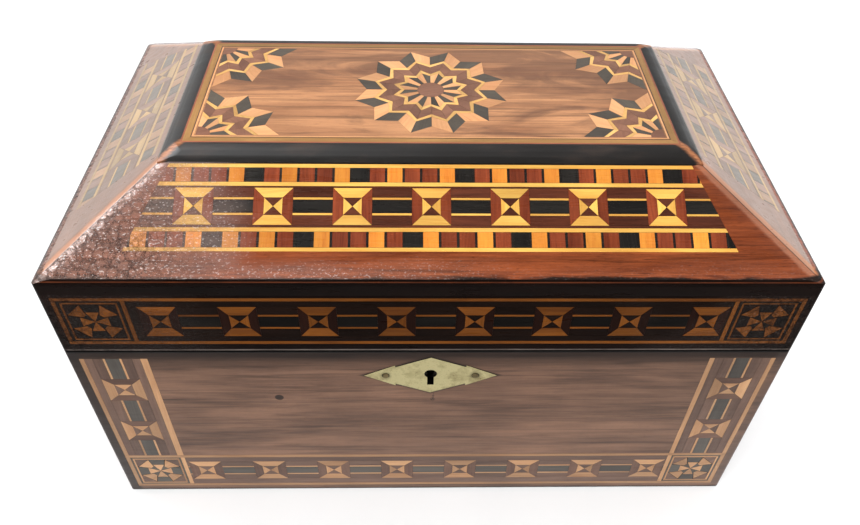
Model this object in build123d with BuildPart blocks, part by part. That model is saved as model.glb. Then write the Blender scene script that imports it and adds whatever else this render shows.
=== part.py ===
from build123d import *
import math
import os

# Hip-lidded tea caddy, in millimetres. +Z is up, -Y is the front (keyhole side), and the origin is
# the middle of the baize underside that the caddy stands on.

# Outside shape
WIDTH = 300.0
DEPTH = 180.0
BAIZE = 0.6
BAIZE_INSET = 3.0
BASE_TOP = 110.0
LID_GAP = 0.6
EAVE_Z = 150.0
LID_TOP = 178.0
SLOPE_ANGLE = 29.7
TOP_INSET = 50.5
CORNER_RADIUS = 2.0
EAVE_RADIUS = 3.0
HIP_RADIUS = 12.0
HULL_SKIRT = 20.0

# Stock thicknesses
VENEER = 1.0
BASE_WALL = 10.0
LID_WALL = 9.0
FLOOR = 8.0
RIM = 0.8
SLOPE_BOARD = 7.0
GLUE_LINE = 0.02

# Lid sections; "in" is the plan distance in from the eave
LID_BOTTOM = BASE_TOP + LID_GAP
EDGING_BOTTOM = EAVE_Z - 6.5
EDGING_IN = 4.0
MOULDING_IN = 42.6
MOULDING_SWELL = 0.6
TOP_BOARD_BOTTOM = 168.0
LID_LINING = 2.5
LID_LINING_TOP = 146.5

# Inlaid bands
BASE_BAND_X = (117.0, 145.0)
BASE_BAND_Z = (4.0, 32.0)
BASE_BAND_TOP = 105.5
LID_BAND_X = 145.5
LID_BAND_Z = (115.0, 142.0)
LONG_BAND = (12.6, 48.4, 117.3, 102.7)
END_BAND = (8.0, 45.5, 57.0, 43.5)
END_BAND_SHIFT = 4.0
STAR_POINTS = 12
STAR_TIP = 33.4
STAR_VALLEY = 27.7
CORNER_STAR = (94.5, 34.5)

# Fittings inside the base
PARTITION_X = 56.0
PARTITION = 6.0
SEAT_BOTTOM = 100.0
SEAT_TOP = 107.0
SEAT_OPENING = (68.0, 133.0, 73.0)
SEAT_REBATE = 3.0
CADDY_LID = 5.0
LID_PLAY = 0.3
LID_CORNER = 1.0
FOIL = 0.5
WELL_BOARD = (92.0, 97.0)
WELL_RADIUS = 46.0
COLLAR_RADIUS = 50.0
COLLAR_TOP = 99.7
SPIGOT_RADIUS = 2.5
SPIGOT = 4.0
FIT = 0.03

# Lock, its bolt and the lid's link plate
KEY_Z = 95.3
KEYHOLE_RADIUS = 2.7
KEYHOLE_SLOT = 2.8
KEYHOLE_BOTTOM = 87.8
DRILL_PIN = (1.3, -88.0)
SHEET = 1.2
PLATE_HALF = 31.0
PLATE_BOTTOM = 80.0
CASE_HALF = 26.0
CASE_BOTTOM = 82.0
CASE_FRONT = -87.4
SELVEDGE_FRONT = -88.2
STAPLE_X = (-12.0, 12.0)
STAPLE_Y = -83.8
STAPLE_SIZE = (2.0, 3.6)
STAPLE_BOTTOM = 101.6
STAPLE_HOLE = (102.6, 106.6, 2.4)
SLOT_SIZE = (2.8, 4.5)
LINK_HALF = 22.0
LINK_Y = (-88.0, -81.2)
BOLT_BAR = (-22.4, 8.0, 97.2, 101.0)
BOLT_THICK = 4.2
PRONG = (1.6, 103.0, 106.0)
PRONG_REACH = 8.4
POST = 3.0
POST_SETBACK = 10.4
SPRING = 0.5
SPRING_BOW = 14.0
SPRING_FOOT = (2.0, 6.0)

# Escutcheon
ESCUTCHEON_HALF = (28.25, 12.0)
ESCUTCHEON_Z = 94.2
ESCUTCHEON_THICK = 1.2
ESCUTCHEON_STEP = (15.0, 1.2)
ESCUTCHEON_PIN_X = 19.1
PIN_RADIUS = 0.6
PIN_HEAD = (1.3, 0.35)
PIN_HEAD_ROUND = 0.28
PIN_LENGTH = 2.4

# Turned knob of a compartment lid, as (radius, height) points above the lid
KNOB_FOOT = (6.0, 1.0)
KNOB_WAIST = (3.4, 4.0)
KNOB_WIDEST = (6.2, 7.0)
KNOB_SHOULDER = (5.0, 9.4)
KNOB_TOP = 10.5
KNOB_TOP_TANGENTS = ((0.2, 1.0), (-1.0, 0.0))

# Mixing bowl, as (radius, z) points: foot, outside wall, rim and inside wall
BOWL_FOOT = ((0.0, 22.0), (18.0, 22.0), (20.0, 24.0))
BOWL_OUTSIDE = ((20.0, 24.0), (35.0, 44.0), (42.4, 70.0), (43.6, 96.0))
BOWL_RIM = ((43.6, 96.0), (48.0, 103.0), (47.0, 104.0), (45.0, 103.5), (40.6, 95.0))
BOWL_INSIDE = ((40.6, 95.0), (39.4, 70.0), (32.0, 46.5), (0.0, 28.5))
COLLAR_ROUND = 2.0

# Hinges
HINGE_X = (-95.0, 95.0)
HINGE_LENGTH = 40.0
LEAF = 1.2
LEAF_WIDTH = 7.4
KNUCKLE_RADIUS = 2.5
HINGE_PIN_RADIUS = 1.2
HINGE_CLEAR = 0.1
HINGE_BORE_FIT = 0.05
HINGE_Y = DEPTH / 2 + KNUCKLE_RADIUS + HINGE_CLEAR
HINGE_Z = BASE_TOP + LID_GAP / 2
KNUCKLE_HALF = 7.0

# Countersunk wood screws: shank radius, head radius, length
SCREW_RADIUS = 1.1
SCREW_HEAD = 2.0
SCREW_LENGTH = 8.0
LOCK_SCREW_LENGTH = 6.0
HINGE_SCREW_X = (-14.0, 0.0, 14.0)
HINGE_SCREW_Y = 86.0
LINK_SCREW_X = (-18.0, 18.0)
LOCK_SCREW_X = (-28.5, 28.5)
LOCK_SCREW_Z = (86.0, 103.0)

SLOPE_RISE = math.tan(math.radians(SLOPE_ANGLE))
SLOPE_COS = math.cos(math.radians(SLOPE_ANGLE))
SLOPE_SIN = math.sin(math.radians(SLOPE_ANGLE))

# Each side of the box: middle of its outer face at the ground, inward direction, direction along it, length
SIDES = {
    "front": ((0, -DEPTH / 2, 0), (0, 1, 0), (1, 0, 0), WIDTH),
    "back": ((0, DEPTH / 2, 0), (0, -1, 0), (-1, 0, 0), WIDTH),
    "left": ((-WIDTH / 2, 0, 0), (1, 0, 0), (0, -1, 0), DEPTH),
    "right": ((WIDTH / 2, 0, 0), (-1, 0, 0), (0, 1, 0), DEPTH),
}
FRONT_FACE = Plane(origin=(0, -DEPTH / 2, 0), x_dir=(1, 0, 0), z_dir=(0, -1, 0))

os.makedirs("parts", exist_ok=True)


def save(piece, name):
    """Labels a finished piece and writes its STEP file."""
    piece.part.label = name
    export_step(piece.part, f"parts/{name}.step")


def slope_z(inward, below=0.0):
    """Height of the lid's slope at a distance in from the eave, less a thickness measured square to it."""
    return EAVE_Z + inward * SLOPE_RISE - below / SLOPE_COS


def slope_plane(side):
    """Sketch plane on a side's slope, origin at the middle of the eave, y up the slope."""
    middle, inward, along, _ = SIDES[side]
    normal = (-inward[0] * SLOPE_SIN, -inward[1] * SLOPE_SIN, SLOPE_COS)
    return Plane(origin=(middle[0], middle[1], EAVE_Z), x_dir=along, z_dir=normal)


def hull(clear=None):
    """Outside of the whole caddy with its rounded corners. Given a clearance above the slopes, it also
    ends at that height over them, with the four hips rounded."""
    with BuildPart() as outside:
        with BuildSketch():
            RectangleRounded(WIDTH, DEPTH, CORNER_RADIUS)
        extrude(amount=LID_TOP + 1)
    if clear is None:
        return outside
    with BuildPart() as roof:
        with BuildSketch(Plane.XY.offset(slope_z(-HULL_SKIRT, -clear))):
            Rectangle(WIDTH + 2 * HULL_SKIRT, DEPTH + 2 * HULL_SKIRT)
        extrude(amount=slope_z(TOP_INSET + HULL_SKIRT) - slope_z(-HULL_SKIRT), taper=90 - SLOPE_ANGLE)
        hips = [edge for edge in roof.edges() if edge.bounding_box().size.Z > 1]
        fillet(hips, HIP_RADIUS)
        with BuildSketch():
            Rectangle(WIDTH + 2 * HULL_SKIRT, DEPTH + 2 * HULL_SKIRT)
        extrude(amount=slope_z(-HULL_SKIRT, -clear))
        add(outside.part, mode=Mode.INTERSECT)
    return roof


def mitred_strip(side, outline, moulded=False, eave_round=False, within=None):
    """A strip along one side with the given (inward, z) outline, cut at 45 degrees at the corners.
    A moulded strip swells from its first point up to the flat of the lid in one bullnose arc."""
    outside = within or BOX_HULL
    middle, inward, along, length = SIDES[side]
    corner = length / 2 - GLUE_LINE
    reach = DEPTH / 2 - 1
    with BuildPart() as strip:
        with BuildSketch(Plane(origin=middle, x_dir=inward, z_dir=along)) as section:
            with BuildLine():
                Polyline(*outline, close=not moulded)
                if moulded:
                    TangentArc(outline[-1], outline[0], tangent=(-1, 0))
            make_face()
            if eave_round:
                fillet(section.vertices().group_by(Axis.X)[0].sort_by(Axis.Y)[-1], EAVE_RADIUS)
        extrude(amount=length / 2, both=True)
        with BuildSketch(Plane(origin=middle, x_dir=along, z_dir=(0, 0, 1))):
            with BuildLine():
                far = corner - reach
                Polyline((-corner, 0), (corner, 0), (far, reach), (-far, reach), close=True)
            make_face()
        extrude(amount=LID_TOP + 1, mode=Mode.INTERSECT)
        add(outside.part, mode=Mode.INTERSECT)
    return strip


def together(pieces):
    """Several finished pieces of one kind as one group of separate solids."""
    with BuildPart() as group:
        for piece in pieces:
            add(piece.part)
    return group


def block(x, y, z, mode=Mode.ADD):
    """A block between pairs of x, y and z values, added to or cut from the current part."""
    with Locations(((x[0] + x[1]) / 2, (y[0] + y[1]) / 2, (z[0] + z[1]) / 2)):
        Box(x[1] - x[0], y[1] - y[0], z[1] - z[0], mode=mode)


def slope_band_outline(band, shift):
    """The trapezium of an inlaid slope band, in the sketch plane of its slope."""
    low, high, low_half, high_half = band
    low_side = ((shift - low_half, low), (shift + low_half, low))
    high_side = ((shift + high_half, high), (shift - high_half, high))
    Polygon(*low_side, *high_side, align=None)


def star_outline():
    """A twelve-pointed star about the current location, with a tip at 15 degrees."""
    points = []
    for step in range(2 * STAR_POINTS):
        radius = STAR_TIP if step % 2 else STAR_VALLEY
        angle = math.radians(180 * step / STAR_POINTS)
        points.append((radius * math.cos(angle), radius * math.sin(angle)))
    Polygon(*points, align=None)


def stars_outline():
    """One whole star in the middle of the top and a quarter of a turned star in each corner."""
    star_outline()
    with BuildSketch(mode=Mode.PRIVATE) as quarters:
        for x in (-CORNER_STAR[0], CORNER_STAR[0]):
            for y in (-CORNER_STAR[1], CORNER_STAR[1]):
                with Locations(Location((x, y, 0), (0, 0, 180 / STAR_POINTS))):
                    star_outline()
        Rectangle(2 * CORNER_STAR[0], 2 * CORNER_STAR[1], mode=Mode.INTERSECT)
    add(quarters.sketch)


def cut_keyhole():
    """Cuts the keyhole through the front, from the escutcheon to the inside of the lock's front sheet."""
    with BuildSketch(FRONT_FACE.offset(ESCUTCHEON_THICK)) as outline:
        with Locations((0, KEY_Z)):
            Circle(KEYHOLE_RADIUS)
        with Locations((0, (KEY_Z + KEYHOLE_BOTTOM) / 2)):
            Rectangle(KEYHOLE_SLOT, KEY_Z - KEYHOLE_BOTTOM)
    extrude(outline.sketch, amount=-(CASE_FRONT + SHEET + DEPTH / 2 + ESCUTCHEON_THICK), mode=Mode.SUBTRACT)


def escutcheon_outline():
    """Long diamond with a small step in each of its four edges."""
    half_x, half_z = ESCUTCHEON_HALF
    step_x, step = ESCUTCHEON_STEP
    rise = half_z * (1 - step_x / half_x)
    quarter = ((half_x, 0), (step_x, rise + step), (step_x, rise), (0, half_z))
    half = quarter + tuple((-x, z) for x, z in reversed(quarter[:-1]))
    Polygon(*half, *((x, -z) for x, z in reversed(half[1:-1])), align=None)


def screw_profile(length, spare=0.0):
    """Half section of a countersunk screw, head up at zero height, enlarged if it is for the hole."""
    sink = SCREW_HEAD - SCREW_RADIUS
    outer = SCREW_HEAD + spare
    shank = SCREW_RADIUS + spare
    end = -length - spare
    Polygon((0, 0), (outer, 0), (shank, -sink), (shank, end), (0, end), align=None)


def screws(frames, length):
    """Countersunk screws standing on the given planes, each plane's z pointing out of the head."""
    with BuildPart() as group:
        for frame in frames:
            with BuildSketch(Plane(origin=frame.origin, x_dir=frame.x_dir, z_dir=-frame.y_dir)) as section:
                screw_profile(length)
            revolve(section.sketch, axis=Axis(frame.origin, frame.z_dir))
    return group


def cut_screws(frames, length):
    """Cuts close-fitting countersunk holes for screws on the given planes."""
    for frame in frames:
        with BuildSketch(Plane(origin=frame.origin, x_dir=frame.x_dir, z_dir=-frame.y_dir)) as section:
            screw_profile(length, FIT)
        revolve(section.sketch, axis=Axis(frame.origin, frame.z_dir), mode=Mode.SUBTRACT)


def cut_pin_holes():
    """Cuts the two escutcheon pin holes."""
    with BuildSketch(FRONT_FACE.offset(ESCUTCHEON_THICK)) as holes:
        with Locations((-ESCUTCHEON_PIN_X, ESCUTCHEON_Z), (ESCUTCHEON_PIN_X, ESCUTCHEON_Z)):
            Circle(PIN_RADIUS + FIT)
    extrude(holes.sketch, amount=-(PIN_LENGTH + ESCUTCHEON_THICK), mode=Mode.SUBTRACT)


def cut_lock_mortise():
    """Cuts the stepped mortise that the lock's plate, case and selvedge lie in."""
    inside = -DEPTH / 2 + BASE_WALL
    plate_back = inside - SHEET
    selvedge_bottom = BASE_TOP - SHEET
    block((-PLATE_HALF, PLATE_HALF), (plate_back, inside), (PLATE_BOTTOM, BASE_TOP), Mode.SUBTRACT)
    block((-CASE_HALF, CASE_HALF), (CASE_FRONT, plate_back), (CASE_BOTTOM, BASE_TOP), Mode.SUBTRACT)
    block((-PLATE_HALF, PLATE_HALF), (SELVEDGE_FRONT, plate_back), (selvedge_bottom, BASE_TOP), Mode.SUBTRACT)


def cut_hinge_mortises(z):
    """Cuts the two housings for the hinge leaves between a pair of heights."""
    for x in HINGE_X:
        ends = (x - HINGE_LENGTH / 2, x + HINGE_LENGTH / 2)
        block(ends, (DEPTH / 2 - LEAF_WIDTH, DEPTH / 2), z, Mode.SUBTRACT)


def cut_link_mortise():
    """Cuts the housing for the link plate in the underside of the lid's front."""
    block((-LINK_HALF, LINK_HALF), LINK_Y, (LID_BOTTOM, LID_BOTTOM + SHEET), Mode.SUBTRACT)


def hinge_screw_frames(z, facing):
    """Planes of the hinge screws' heads, facing up or down."""
    x_dir = (1, 0, 0)
    return [
        Plane(origin=(hinge + x, HINGE_SCREW_Y, z), x_dir=x_dir, z_dir=(0, 0, facing))
        for hinge in HINGE_X for x in HINGE_SCREW_X
    ]


base_hinge_frames = hinge_screw_frames(BASE_TOP, 1)
lid_hinge_frames = hinge_screw_frames(LID_BOTTOM, -1)
link_frames = [
    Plane(origin=(x, (LINK_Y[0] + LINK_Y[1]) / 2, LID_BOTTOM), x_dir=(1, 0, 0), z_dir=(0, 0, -1))
    for x in LINK_SCREW_X
]
lock_frames = [
    Plane(origin=(x, BASE_WALL - DEPTH / 2, z), x_dir=(1, 0, 0), z_dir=(0, 1, 0))
    for x in LOCK_SCREW_X for z in LOCK_SCREW_Z
]


BOX_HULL = hull()
SLOPE_HULL = hull(0)
MOULDING_HULL = hull(MOULDING_SWELL)

# Outlines of the strips that follow the sides, as (inward, z) points
board_bottom = BAIZE + FLOOR
base_veneer_outline = ((0, BAIZE), (VENEER, BAIZE), (VENEER, BASE_TOP), (0, BASE_TOP))
base_board_outline = (
    (VENEER, board_bottom), (BASE_WALL, board_bottom), (BASE_WALL, BASE_TOP - RIM), (VENEER, BASE_TOP - RIM),
)
base_rim_outline = (
    (VENEER, BASE_TOP - RIM), (BASE_WALL, BASE_TOP - RIM), (BASE_WALL, BASE_TOP), (VENEER, BASE_TOP),
)
lid_veneer_outline = (
    (0, LID_BOTTOM), (VENEER, LID_BOTTOM), (VENEER, EDGING_BOTTOM), (0, EDGING_BOTTOM),
)
lid_rim_outline = (
    (VENEER, LID_BOTTOM), (LID_WALL, LID_BOTTOM), (LID_WALL, LID_BOTTOM + RIM), (VENEER, LID_BOTTOM + RIM),
)
lid_rail_outline = (
    (VENEER, LID_BOTTOM + RIM), (LID_WALL, LID_BOTTOM + RIM), (LID_WALL, slope_z(LID_WALL, SLOPE_BOARD)),
    (EDGING_IN, slope_z(EDGING_IN, SLOPE_BOARD)), (EDGING_IN, EDGING_BOTTOM), (VENEER, EDGING_BOTTOM),
)
edging_outline = (
    (0, EDGING_BOTTOM), (EDGING_IN, EDGING_BOTTOM), (EDGING_IN, slope_z(EDGING_IN)), (0, EAVE_Z),
)
slope_board_outline = (
    (EDGING_IN, slope_z(EDGING_IN, SLOPE_BOARD)), (MOULDING_IN, slope_z(MOULDING_IN, SLOPE_BOARD)),
    (MOULDING_IN, slope_z(MOULDING_IN, VENEER)), (EDGING_IN, slope_z(EDGING_IN, VENEER)),
)
slope_veneer_outline = (
    (EDGING_IN, slope_z(EDGING_IN, VENEER)), (MOULDING_IN, slope_z(MOULDING_IN, VENEER)),
    (MOULDING_IN, slope_z(MOULDING_IN)), (EDGING_IN, slope_z(EDGING_IN)),
)
moulding_outline = (
    (MOULDING_IN, slope_z(MOULDING_IN)), (MOULDING_IN, slope_z(MOULDING_IN, VENEER)),
    (TOP_INSET, slope_z(MOULDING_IN, VENEER)), (TOP_INSET, LID_TOP),
)

# Baize and floor of the base
with BuildPart() as baize:
    with BuildSketch():
        RectangleRounded(WIDTH - 2 * BAIZE_INSET, DEPTH - 2 * BAIZE_INSET, CORNER_RADIUS)
    extrude(amount=BAIZE)
save(baize, "baize")

with BuildPart() as bottom_board:
    with BuildSketch(Plane.XY.offset(BAIZE)):
        Rectangle(WIDTH - 2 * VENEER, DEPTH - 2 * VENEER)
    extrude(amount=FLOOR)
save(bottom_board, "bottom_board")

# Walls of the base. The front board is let out for the lock, the back board for the hinges.
front_wall = mitred_strip("front", base_board_outline)
with BuildPart() as base_front_board:
    add(front_wall.part)
    cut_lock_mortise()
    cut_keyhole()
    cut_pin_holes()
    cut_screws(lock_frames, LOCK_SCREW_LENGTH)
save(base_front_board, "base_front_board")

back_wall = mitred_strip("back", base_board_outline)
with BuildPart() as base_back_board:
    add(back_wall.part)
    cut_hinge_mortises((BASE_TOP - LEAF, BASE_TOP))
    cut_screws(base_hinge_frames, SCREW_LENGTH)
save(base_back_board, "base_back_board")

for side in ("left", "right"):
    save(mitred_strip(side, base_board_outline), f"base_{side}_board")

base_rim_strips = together([mitred_strip(side, base_rim_outline) for side in SIDES])
with BuildPart() as base_rim:
    add(base_rim_strips.part)
    cut_lock_mortise()
    cut_hinge_mortises((BASE_TOP - LEAF, BASE_TOP))
save(base_rim, "base_rim_strips")

# Show veneers of the base. The front one is cut away for its three inlaid bands and the escutcheon.
with BuildPart() as base_bottom_band:
    with BuildSketch(FRONT_FACE):
        with Locations((0, (BASE_BAND_Z[0] + BASE_BAND_Z[1]) / 2)):
            Rectangle(2 * BASE_BAND_X[1], BASE_BAND_Z[1] - BASE_BAND_Z[0])
    extrude(amount=-VENEER)
save(base_bottom_band, "base_bottom_band")

with BuildPart() as base_side_bands:
    with BuildSketch(FRONT_FACE):
        band_x = (BASE_BAND_X[0] + BASE_BAND_X[1]) / 2
        band_z = (BASE_BAND_Z[1] + BASE_BAND_TOP) / 2
        with Locations((-band_x, band_z), (band_x, band_z)):
            Rectangle(BASE_BAND_X[1] - BASE_BAND_X[0], BASE_BAND_TOP - BASE_BAND_Z[1])
    extrude(amount=-VENEER)
save(base_side_bands, "base_side_bands")

front_skin = mitred_strip("front", base_veneer_outline)
with BuildPart() as base_front_veneer:
    add(front_skin.part)
    add(base_bottom_band.part, mode=Mode.SUBTRACT)
    add(base_side_bands.part, mode=Mode.SUBTRACT)
    with BuildSketch(FRONT_FACE):
        with Locations((0, ESCUTCHEON_Z)):
            escutcheon_outline()
    extrude(amount=-VENEER, mode=Mode.SUBTRACT)
save(base_front_veneer, "base_front_veneer")
back_skin = mitred_strip("back", base_veneer_outline)
with BuildPart() as base_back_veneer:
    add(back_skin.part)
    cut_hinge_mortises((BASE_TOP - LEAF, BASE_TOP))
save(base_back_veneer, "base_back_veneer")
save(together([mitred_strip(side, base_veneer_outline) for side in ("left", "right")]), "base_end_veneers")

# Inside of the base: two foil-lined compartments for tea and a well between them for the mixing bowl
partition_x = PARTITION_X + PARTITION / 2
inside_x = WIDTH / 2 - BASE_WALL
inside_y = DEPTH / 2 - BASE_WALL
with BuildPart() as partitions:
    for x in (-partition_x, partition_x):
        block((x - PARTITION / 2, x + PARTITION / 2), (-inside_y, inside_y), (board_bottom, SEAT_BOTTOM))
save(partitions, "partitions")

foil_x = (PARTITION_X + PARTITION, inside_x)
for side, sign in (("left", -1), ("right", 1)):
    with BuildPart() as foil_lining:
        ends = sorted((sign * foil_x[0], sign * foil_x[1]))
        block(ends, (-inside_y, inside_y), (board_bottom, SEAT_BOTTOM))
        offset(amount=-FOIL, openings=foil_lining.faces().sort_by(Axis.Z)[-1])
    save(foil_lining, f"{side}_foil_lining")

opening_near, opening_far, opening_y = SEAT_OPENING
opening_x = (opening_near + opening_far) / 2
with BuildPart() as seat_frames:
    for sign in (-1, 1):
        with BuildSketch(Plane.XY.offset(SEAT_BOTTOM)):
            with Locations((sign * (PARTITION_X + inside_x) / 2, 0)):
                Rectangle(inside_x - PARTITION_X, 2 * inside_y)
            with Locations((sign * opening_x, 0)):
                Rectangle(opening_far - opening_near, 2 * opening_y, mode=Mode.SUBTRACT)
        extrude(amount=SEAT_TOP - SEAT_BOTTOM)
        with BuildSketch(Plane.XY.offset(SEAT_TOP)):
            with Locations((sign * opening_x, 0)):
                Rectangle(opening_far - opening_near + 2 * SEAT_REBATE, 2 * (opening_y + SEAT_REBATE))
        extrude(amount=-CADDY_LID, mode=Mode.SUBTRACT)
save(seat_frames, "compartment_seats")

with BuildPart() as well_board:
    block((-PARTITION_X, PARTITION_X), (-inside_y, inside_y), WELL_BOARD)
    with BuildSketch(Plane.XY.offset(WELL_BOARD[1])):
        Circle(WELL_RADIUS)
    extrude(amount=WELL_BOARD[0] - WELL_BOARD[1], mode=Mode.SUBTRACT)
save(well_board, "well_board")

with BuildPart() as well_collar:
    with BuildSketch(Plane.XY.offset(WELL_BOARD[1])):
        Circle(COLLAR_RADIUS)
        Circle(WELL_RADIUS, mode=Mode.SUBTRACT)
    extrude(amount=COLLAR_TOP - WELL_BOARD[1])
    fillet(well_collar.edges().group_by(Axis.Z)[-1].sort_by(SortBy.RADIUS)[-1], COLLAR_ROUND)
save(well_collar, "well_collar")

# Lock in the front board: case with its selvedge and drill pin, leaf spring, bolt and screws
lock_inside = BASE_WALL - DEPTH / 2
plate_y = (lock_inside - SHEET, lock_inside)
cavity_x = (SHEET - CASE_HALF, CASE_HALF - SHEET)
cavity_y = (CASE_FRONT + SHEET, plate_y[0])
cavity_z = (CASE_BOTTOM + SHEET, BASE_TOP - SHEET)
with BuildPart() as lock_case:
    block((-PLATE_HALF, PLATE_HALF), plate_y, (PLATE_BOTTOM, BASE_TOP))
    block((-CASE_HALF, CASE_HALF), (CASE_FRONT, plate_y[0]), (CASE_BOTTOM, BASE_TOP))
    block((-PLATE_HALF, PLATE_HALF), (SELVEDGE_FRONT, plate_y[0]), (BASE_TOP - SHEET, BASE_TOP))
    block(cavity_x, cavity_y, cavity_z, Mode.SUBTRACT)
    with BuildSketch(Plane.XY.offset(BASE_TOP)):
        with Locations(*((x, STAPLE_Y) for x in STAPLE_X)):
            Rectangle(*SLOT_SIZE)
    extrude(amount=-SHEET, mode=Mode.SUBTRACT)
    cut_keyhole()
    with BuildSketch(Plane(origin=(0, plate_y[0], KEY_Z), z_dir=(0, -1, 0))):
        Circle(DRILL_PIN[0])
    extrude(amount=plate_y[0] - DRILL_PIN[1])
    cut_screws(lock_frames, LOCK_SCREW_LENGTH)
save(lock_case, "lock_case")

bolt_y = (STAPLE_Y - BOLT_THICK / 2, STAPLE_Y + BOLT_THICK / 2)
bar_x = BOLT_BAR[:2]
bar_z = BOLT_BAR[2:]
prong_y = (STAPLE_Y - PRONG[0] / 2, STAPLE_Y + PRONG[0] / 2)
prong_z = PRONG[1:]
with BuildPart() as lock_bolt:
    block(bar_x, bolt_y, bar_z)
    for x in STAPLE_X:
        post_x = x - POST_SETBACK
        block((post_x, post_x + POST), prong_y, (bar_z[0], prong_z[1]))
        block((post_x, post_x + PRONG_REACH), prong_y, prong_z)
save(lock_bolt, "lock_bolt")

foot_x = (cavity_x[0], cavity_x[0] + 2 * SPRING)
foot_z = (cavity_z[0] + SPRING_FOOT[0], cavity_z[0] + SPRING_FOOT[1])
with BuildPart() as lock_spring:
    with BuildSketch(Plane(origin=(0, STAPLE_Y, 0), x_dir=(1, 0, 0), z_dir=(0, -1, 0))):
        with BuildLine() as blade:
            spring_top = bar_z[0] - SPRING
            RadiusArc((foot_x[1] - SPRING / 2, foot_z[1] - SPRING), (STAPLE_X[0], spring_top), SPRING_BOW)
        trace(blade.line, SPRING)
        with Locations((sum(foot_x) / 2, sum(foot_z) / 2)):
            Rectangle(foot_x[1] - foot_x[0], foot_z[1] - foot_z[0])
    extrude(amount=PRONG[0], both=True)
save(lock_spring, "lock_spring")
save(screws(lock_frames, LOCK_SCREW_LENGTH), "lock_screws")

with BuildPart() as escutcheon:
    with BuildSketch(FRONT_FACE.offset(-VENEER)):
        with Locations((0, ESCUTCHEON_Z)):
            escutcheon_outline()
    extrude(amount=ESCUTCHEON_THICK)
    cut_keyhole()
    cut_pin_holes()
save(escutcheon, "escutcheon")

with BuildPart() as escutcheon_pins:
    with BuildSketch(FRONT_FACE.offset(ESCUTCHEON_THICK - VENEER)):
        with Locations((-ESCUTCHEON_PIN_X, ESCUTCHEON_Z), (ESCUTCHEON_PIN_X, ESCUTCHEON_Z)):
            Circle(PIN_RADIUS)
    extrude(amount=-PIN_LENGTH)
    with BuildSketch(FRONT_FACE.offset(ESCUTCHEON_THICK - VENEER)):
        with Locations((-ESCUTCHEON_PIN_X, ESCUTCHEON_Z), (ESCUTCHEON_PIN_X, ESCUTCHEON_Z)):
            Circle(PIN_HEAD[0])
    extrude(amount=PIN_HEAD[1])
    fillet(escutcheon_pins.edges().group_by(Axis.Y)[0], PIN_HEAD_ROUND)
save(escutcheon_pins, "escutcheon_pins")

# Butt hinges: the base leaf carries the middle knuckle and the lid leaf the two outer ones
def hinge_leaves(leaf_z, web_z, knuckles):
    """Two leaves with knuckles over the given x spans, measured from each hinge's middle."""
    with BuildPart() as leaves:
        for hinge in HINGE_X:
            ends = (hinge - HINGE_LENGTH / 2, hinge + HINGE_LENGTH / 2)
            block(ends, (DEPTH / 2 - LEAF_WIDTH, DEPTH / 2), leaf_z)
            for low, high in knuckles:
                block((hinge + low, hinge + high), (DEPTH / 2, HINGE_Y), web_z)
                with BuildSketch(Plane.YZ.offset(hinge + low)) as barrel:
                    with Locations((HINGE_Y, HINGE_Z)):
                        Circle(KNUCKLE_RADIUS)
                extrude(barrel.sketch, amount=high - low)
        with BuildSketch(Plane.YZ.offset(-WIDTH / 2)) as bore:
            with Locations((HINGE_Y, HINGE_Z)):
                Circle(HINGE_PIN_RADIUS + HINGE_BORE_FIT)
        extrude(bore.sketch, amount=WIDTH, mode=Mode.SUBTRACT)
    return leaves


knuckle_end = HINGE_LENGTH / 2
base_leaf_z = (BASE_TOP - LEAF, BASE_TOP)
lid_leaf_z = (LID_BOTTOM, LID_BOTTOM + LEAF)
base_knuckles = ((-KNUCKLE_HALF, KNUCKLE_HALF),)
lid_knuckles = (
    (-knuckle_end, -KNUCKLE_HALF - HINGE_CLEAR),
    (KNUCKLE_HALF + HINGE_CLEAR, knuckle_end),
)
base_leaf_blanks = hinge_leaves(base_leaf_z, base_leaf_z, base_knuckles)
with BuildPart() as base_leaves:
    add(base_leaf_blanks.part)
    cut_screws(base_hinge_frames, SCREW_LENGTH)
save(base_leaves, "hinge_base_leaves")

lid_leaf_blanks = hinge_leaves(lid_leaf_z, lid_leaf_z, lid_knuckles)
with BuildPart() as lid_leaves:
    add(lid_leaf_blanks.part)
    cut_screws(lid_hinge_frames, SCREW_LENGTH)
save(lid_leaves, "hinge_lid_leaves")

with BuildPart() as hinge_pins:
    for hinge in HINGE_X:
        with BuildSketch(Plane.YZ.offset(hinge - knuckle_end)):
            with Locations((HINGE_Y, HINGE_Z)):
                Circle(HINGE_PIN_RADIUS)
        extrude(amount=HINGE_LENGTH)
save(hinge_pins, "hinge_pins")
save(screws(base_hinge_frames, SCREW_LENGTH), "hinge_base_screws")
save(screws(lid_hinge_frames, SCREW_LENGTH), "hinge_lid_screws")

# Lid: four mitred rails, their show veneers and the solid edging along the eaves
front_rail = mitred_strip("front", lid_rail_outline)
with BuildPart() as lid_front_rail:
    add(front_rail.part)
    cut_link_mortise()
    cut_screws(link_frames, SCREW_LENGTH)
save(lid_front_rail, "lid_front_rail")

back_rail = mitred_strip("back", lid_rail_outline)
with BuildPart() as lid_back_rail:
    add(back_rail.part)
    cut_hinge_mortises((LID_BOTTOM, LID_BOTTOM + LEAF))
    cut_screws(lid_hinge_frames, SCREW_LENGTH)
save(lid_back_rail, "lid_back_rail")
for side in ("left", "right"):
    save(mitred_strip(side, lid_rail_outline), f"lid_{side}_rail")

lid_rim_strips = together([mitred_strip(side, lid_rim_outline) for side in SIDES])
with BuildPart() as lid_rim:
    add(lid_rim_strips.part)
    cut_link_mortise()
    cut_hinge_mortises((LID_BOTTOM, LID_BOTTOM + LEAF))
save(lid_rim, "lid_rim_strips")

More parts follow.
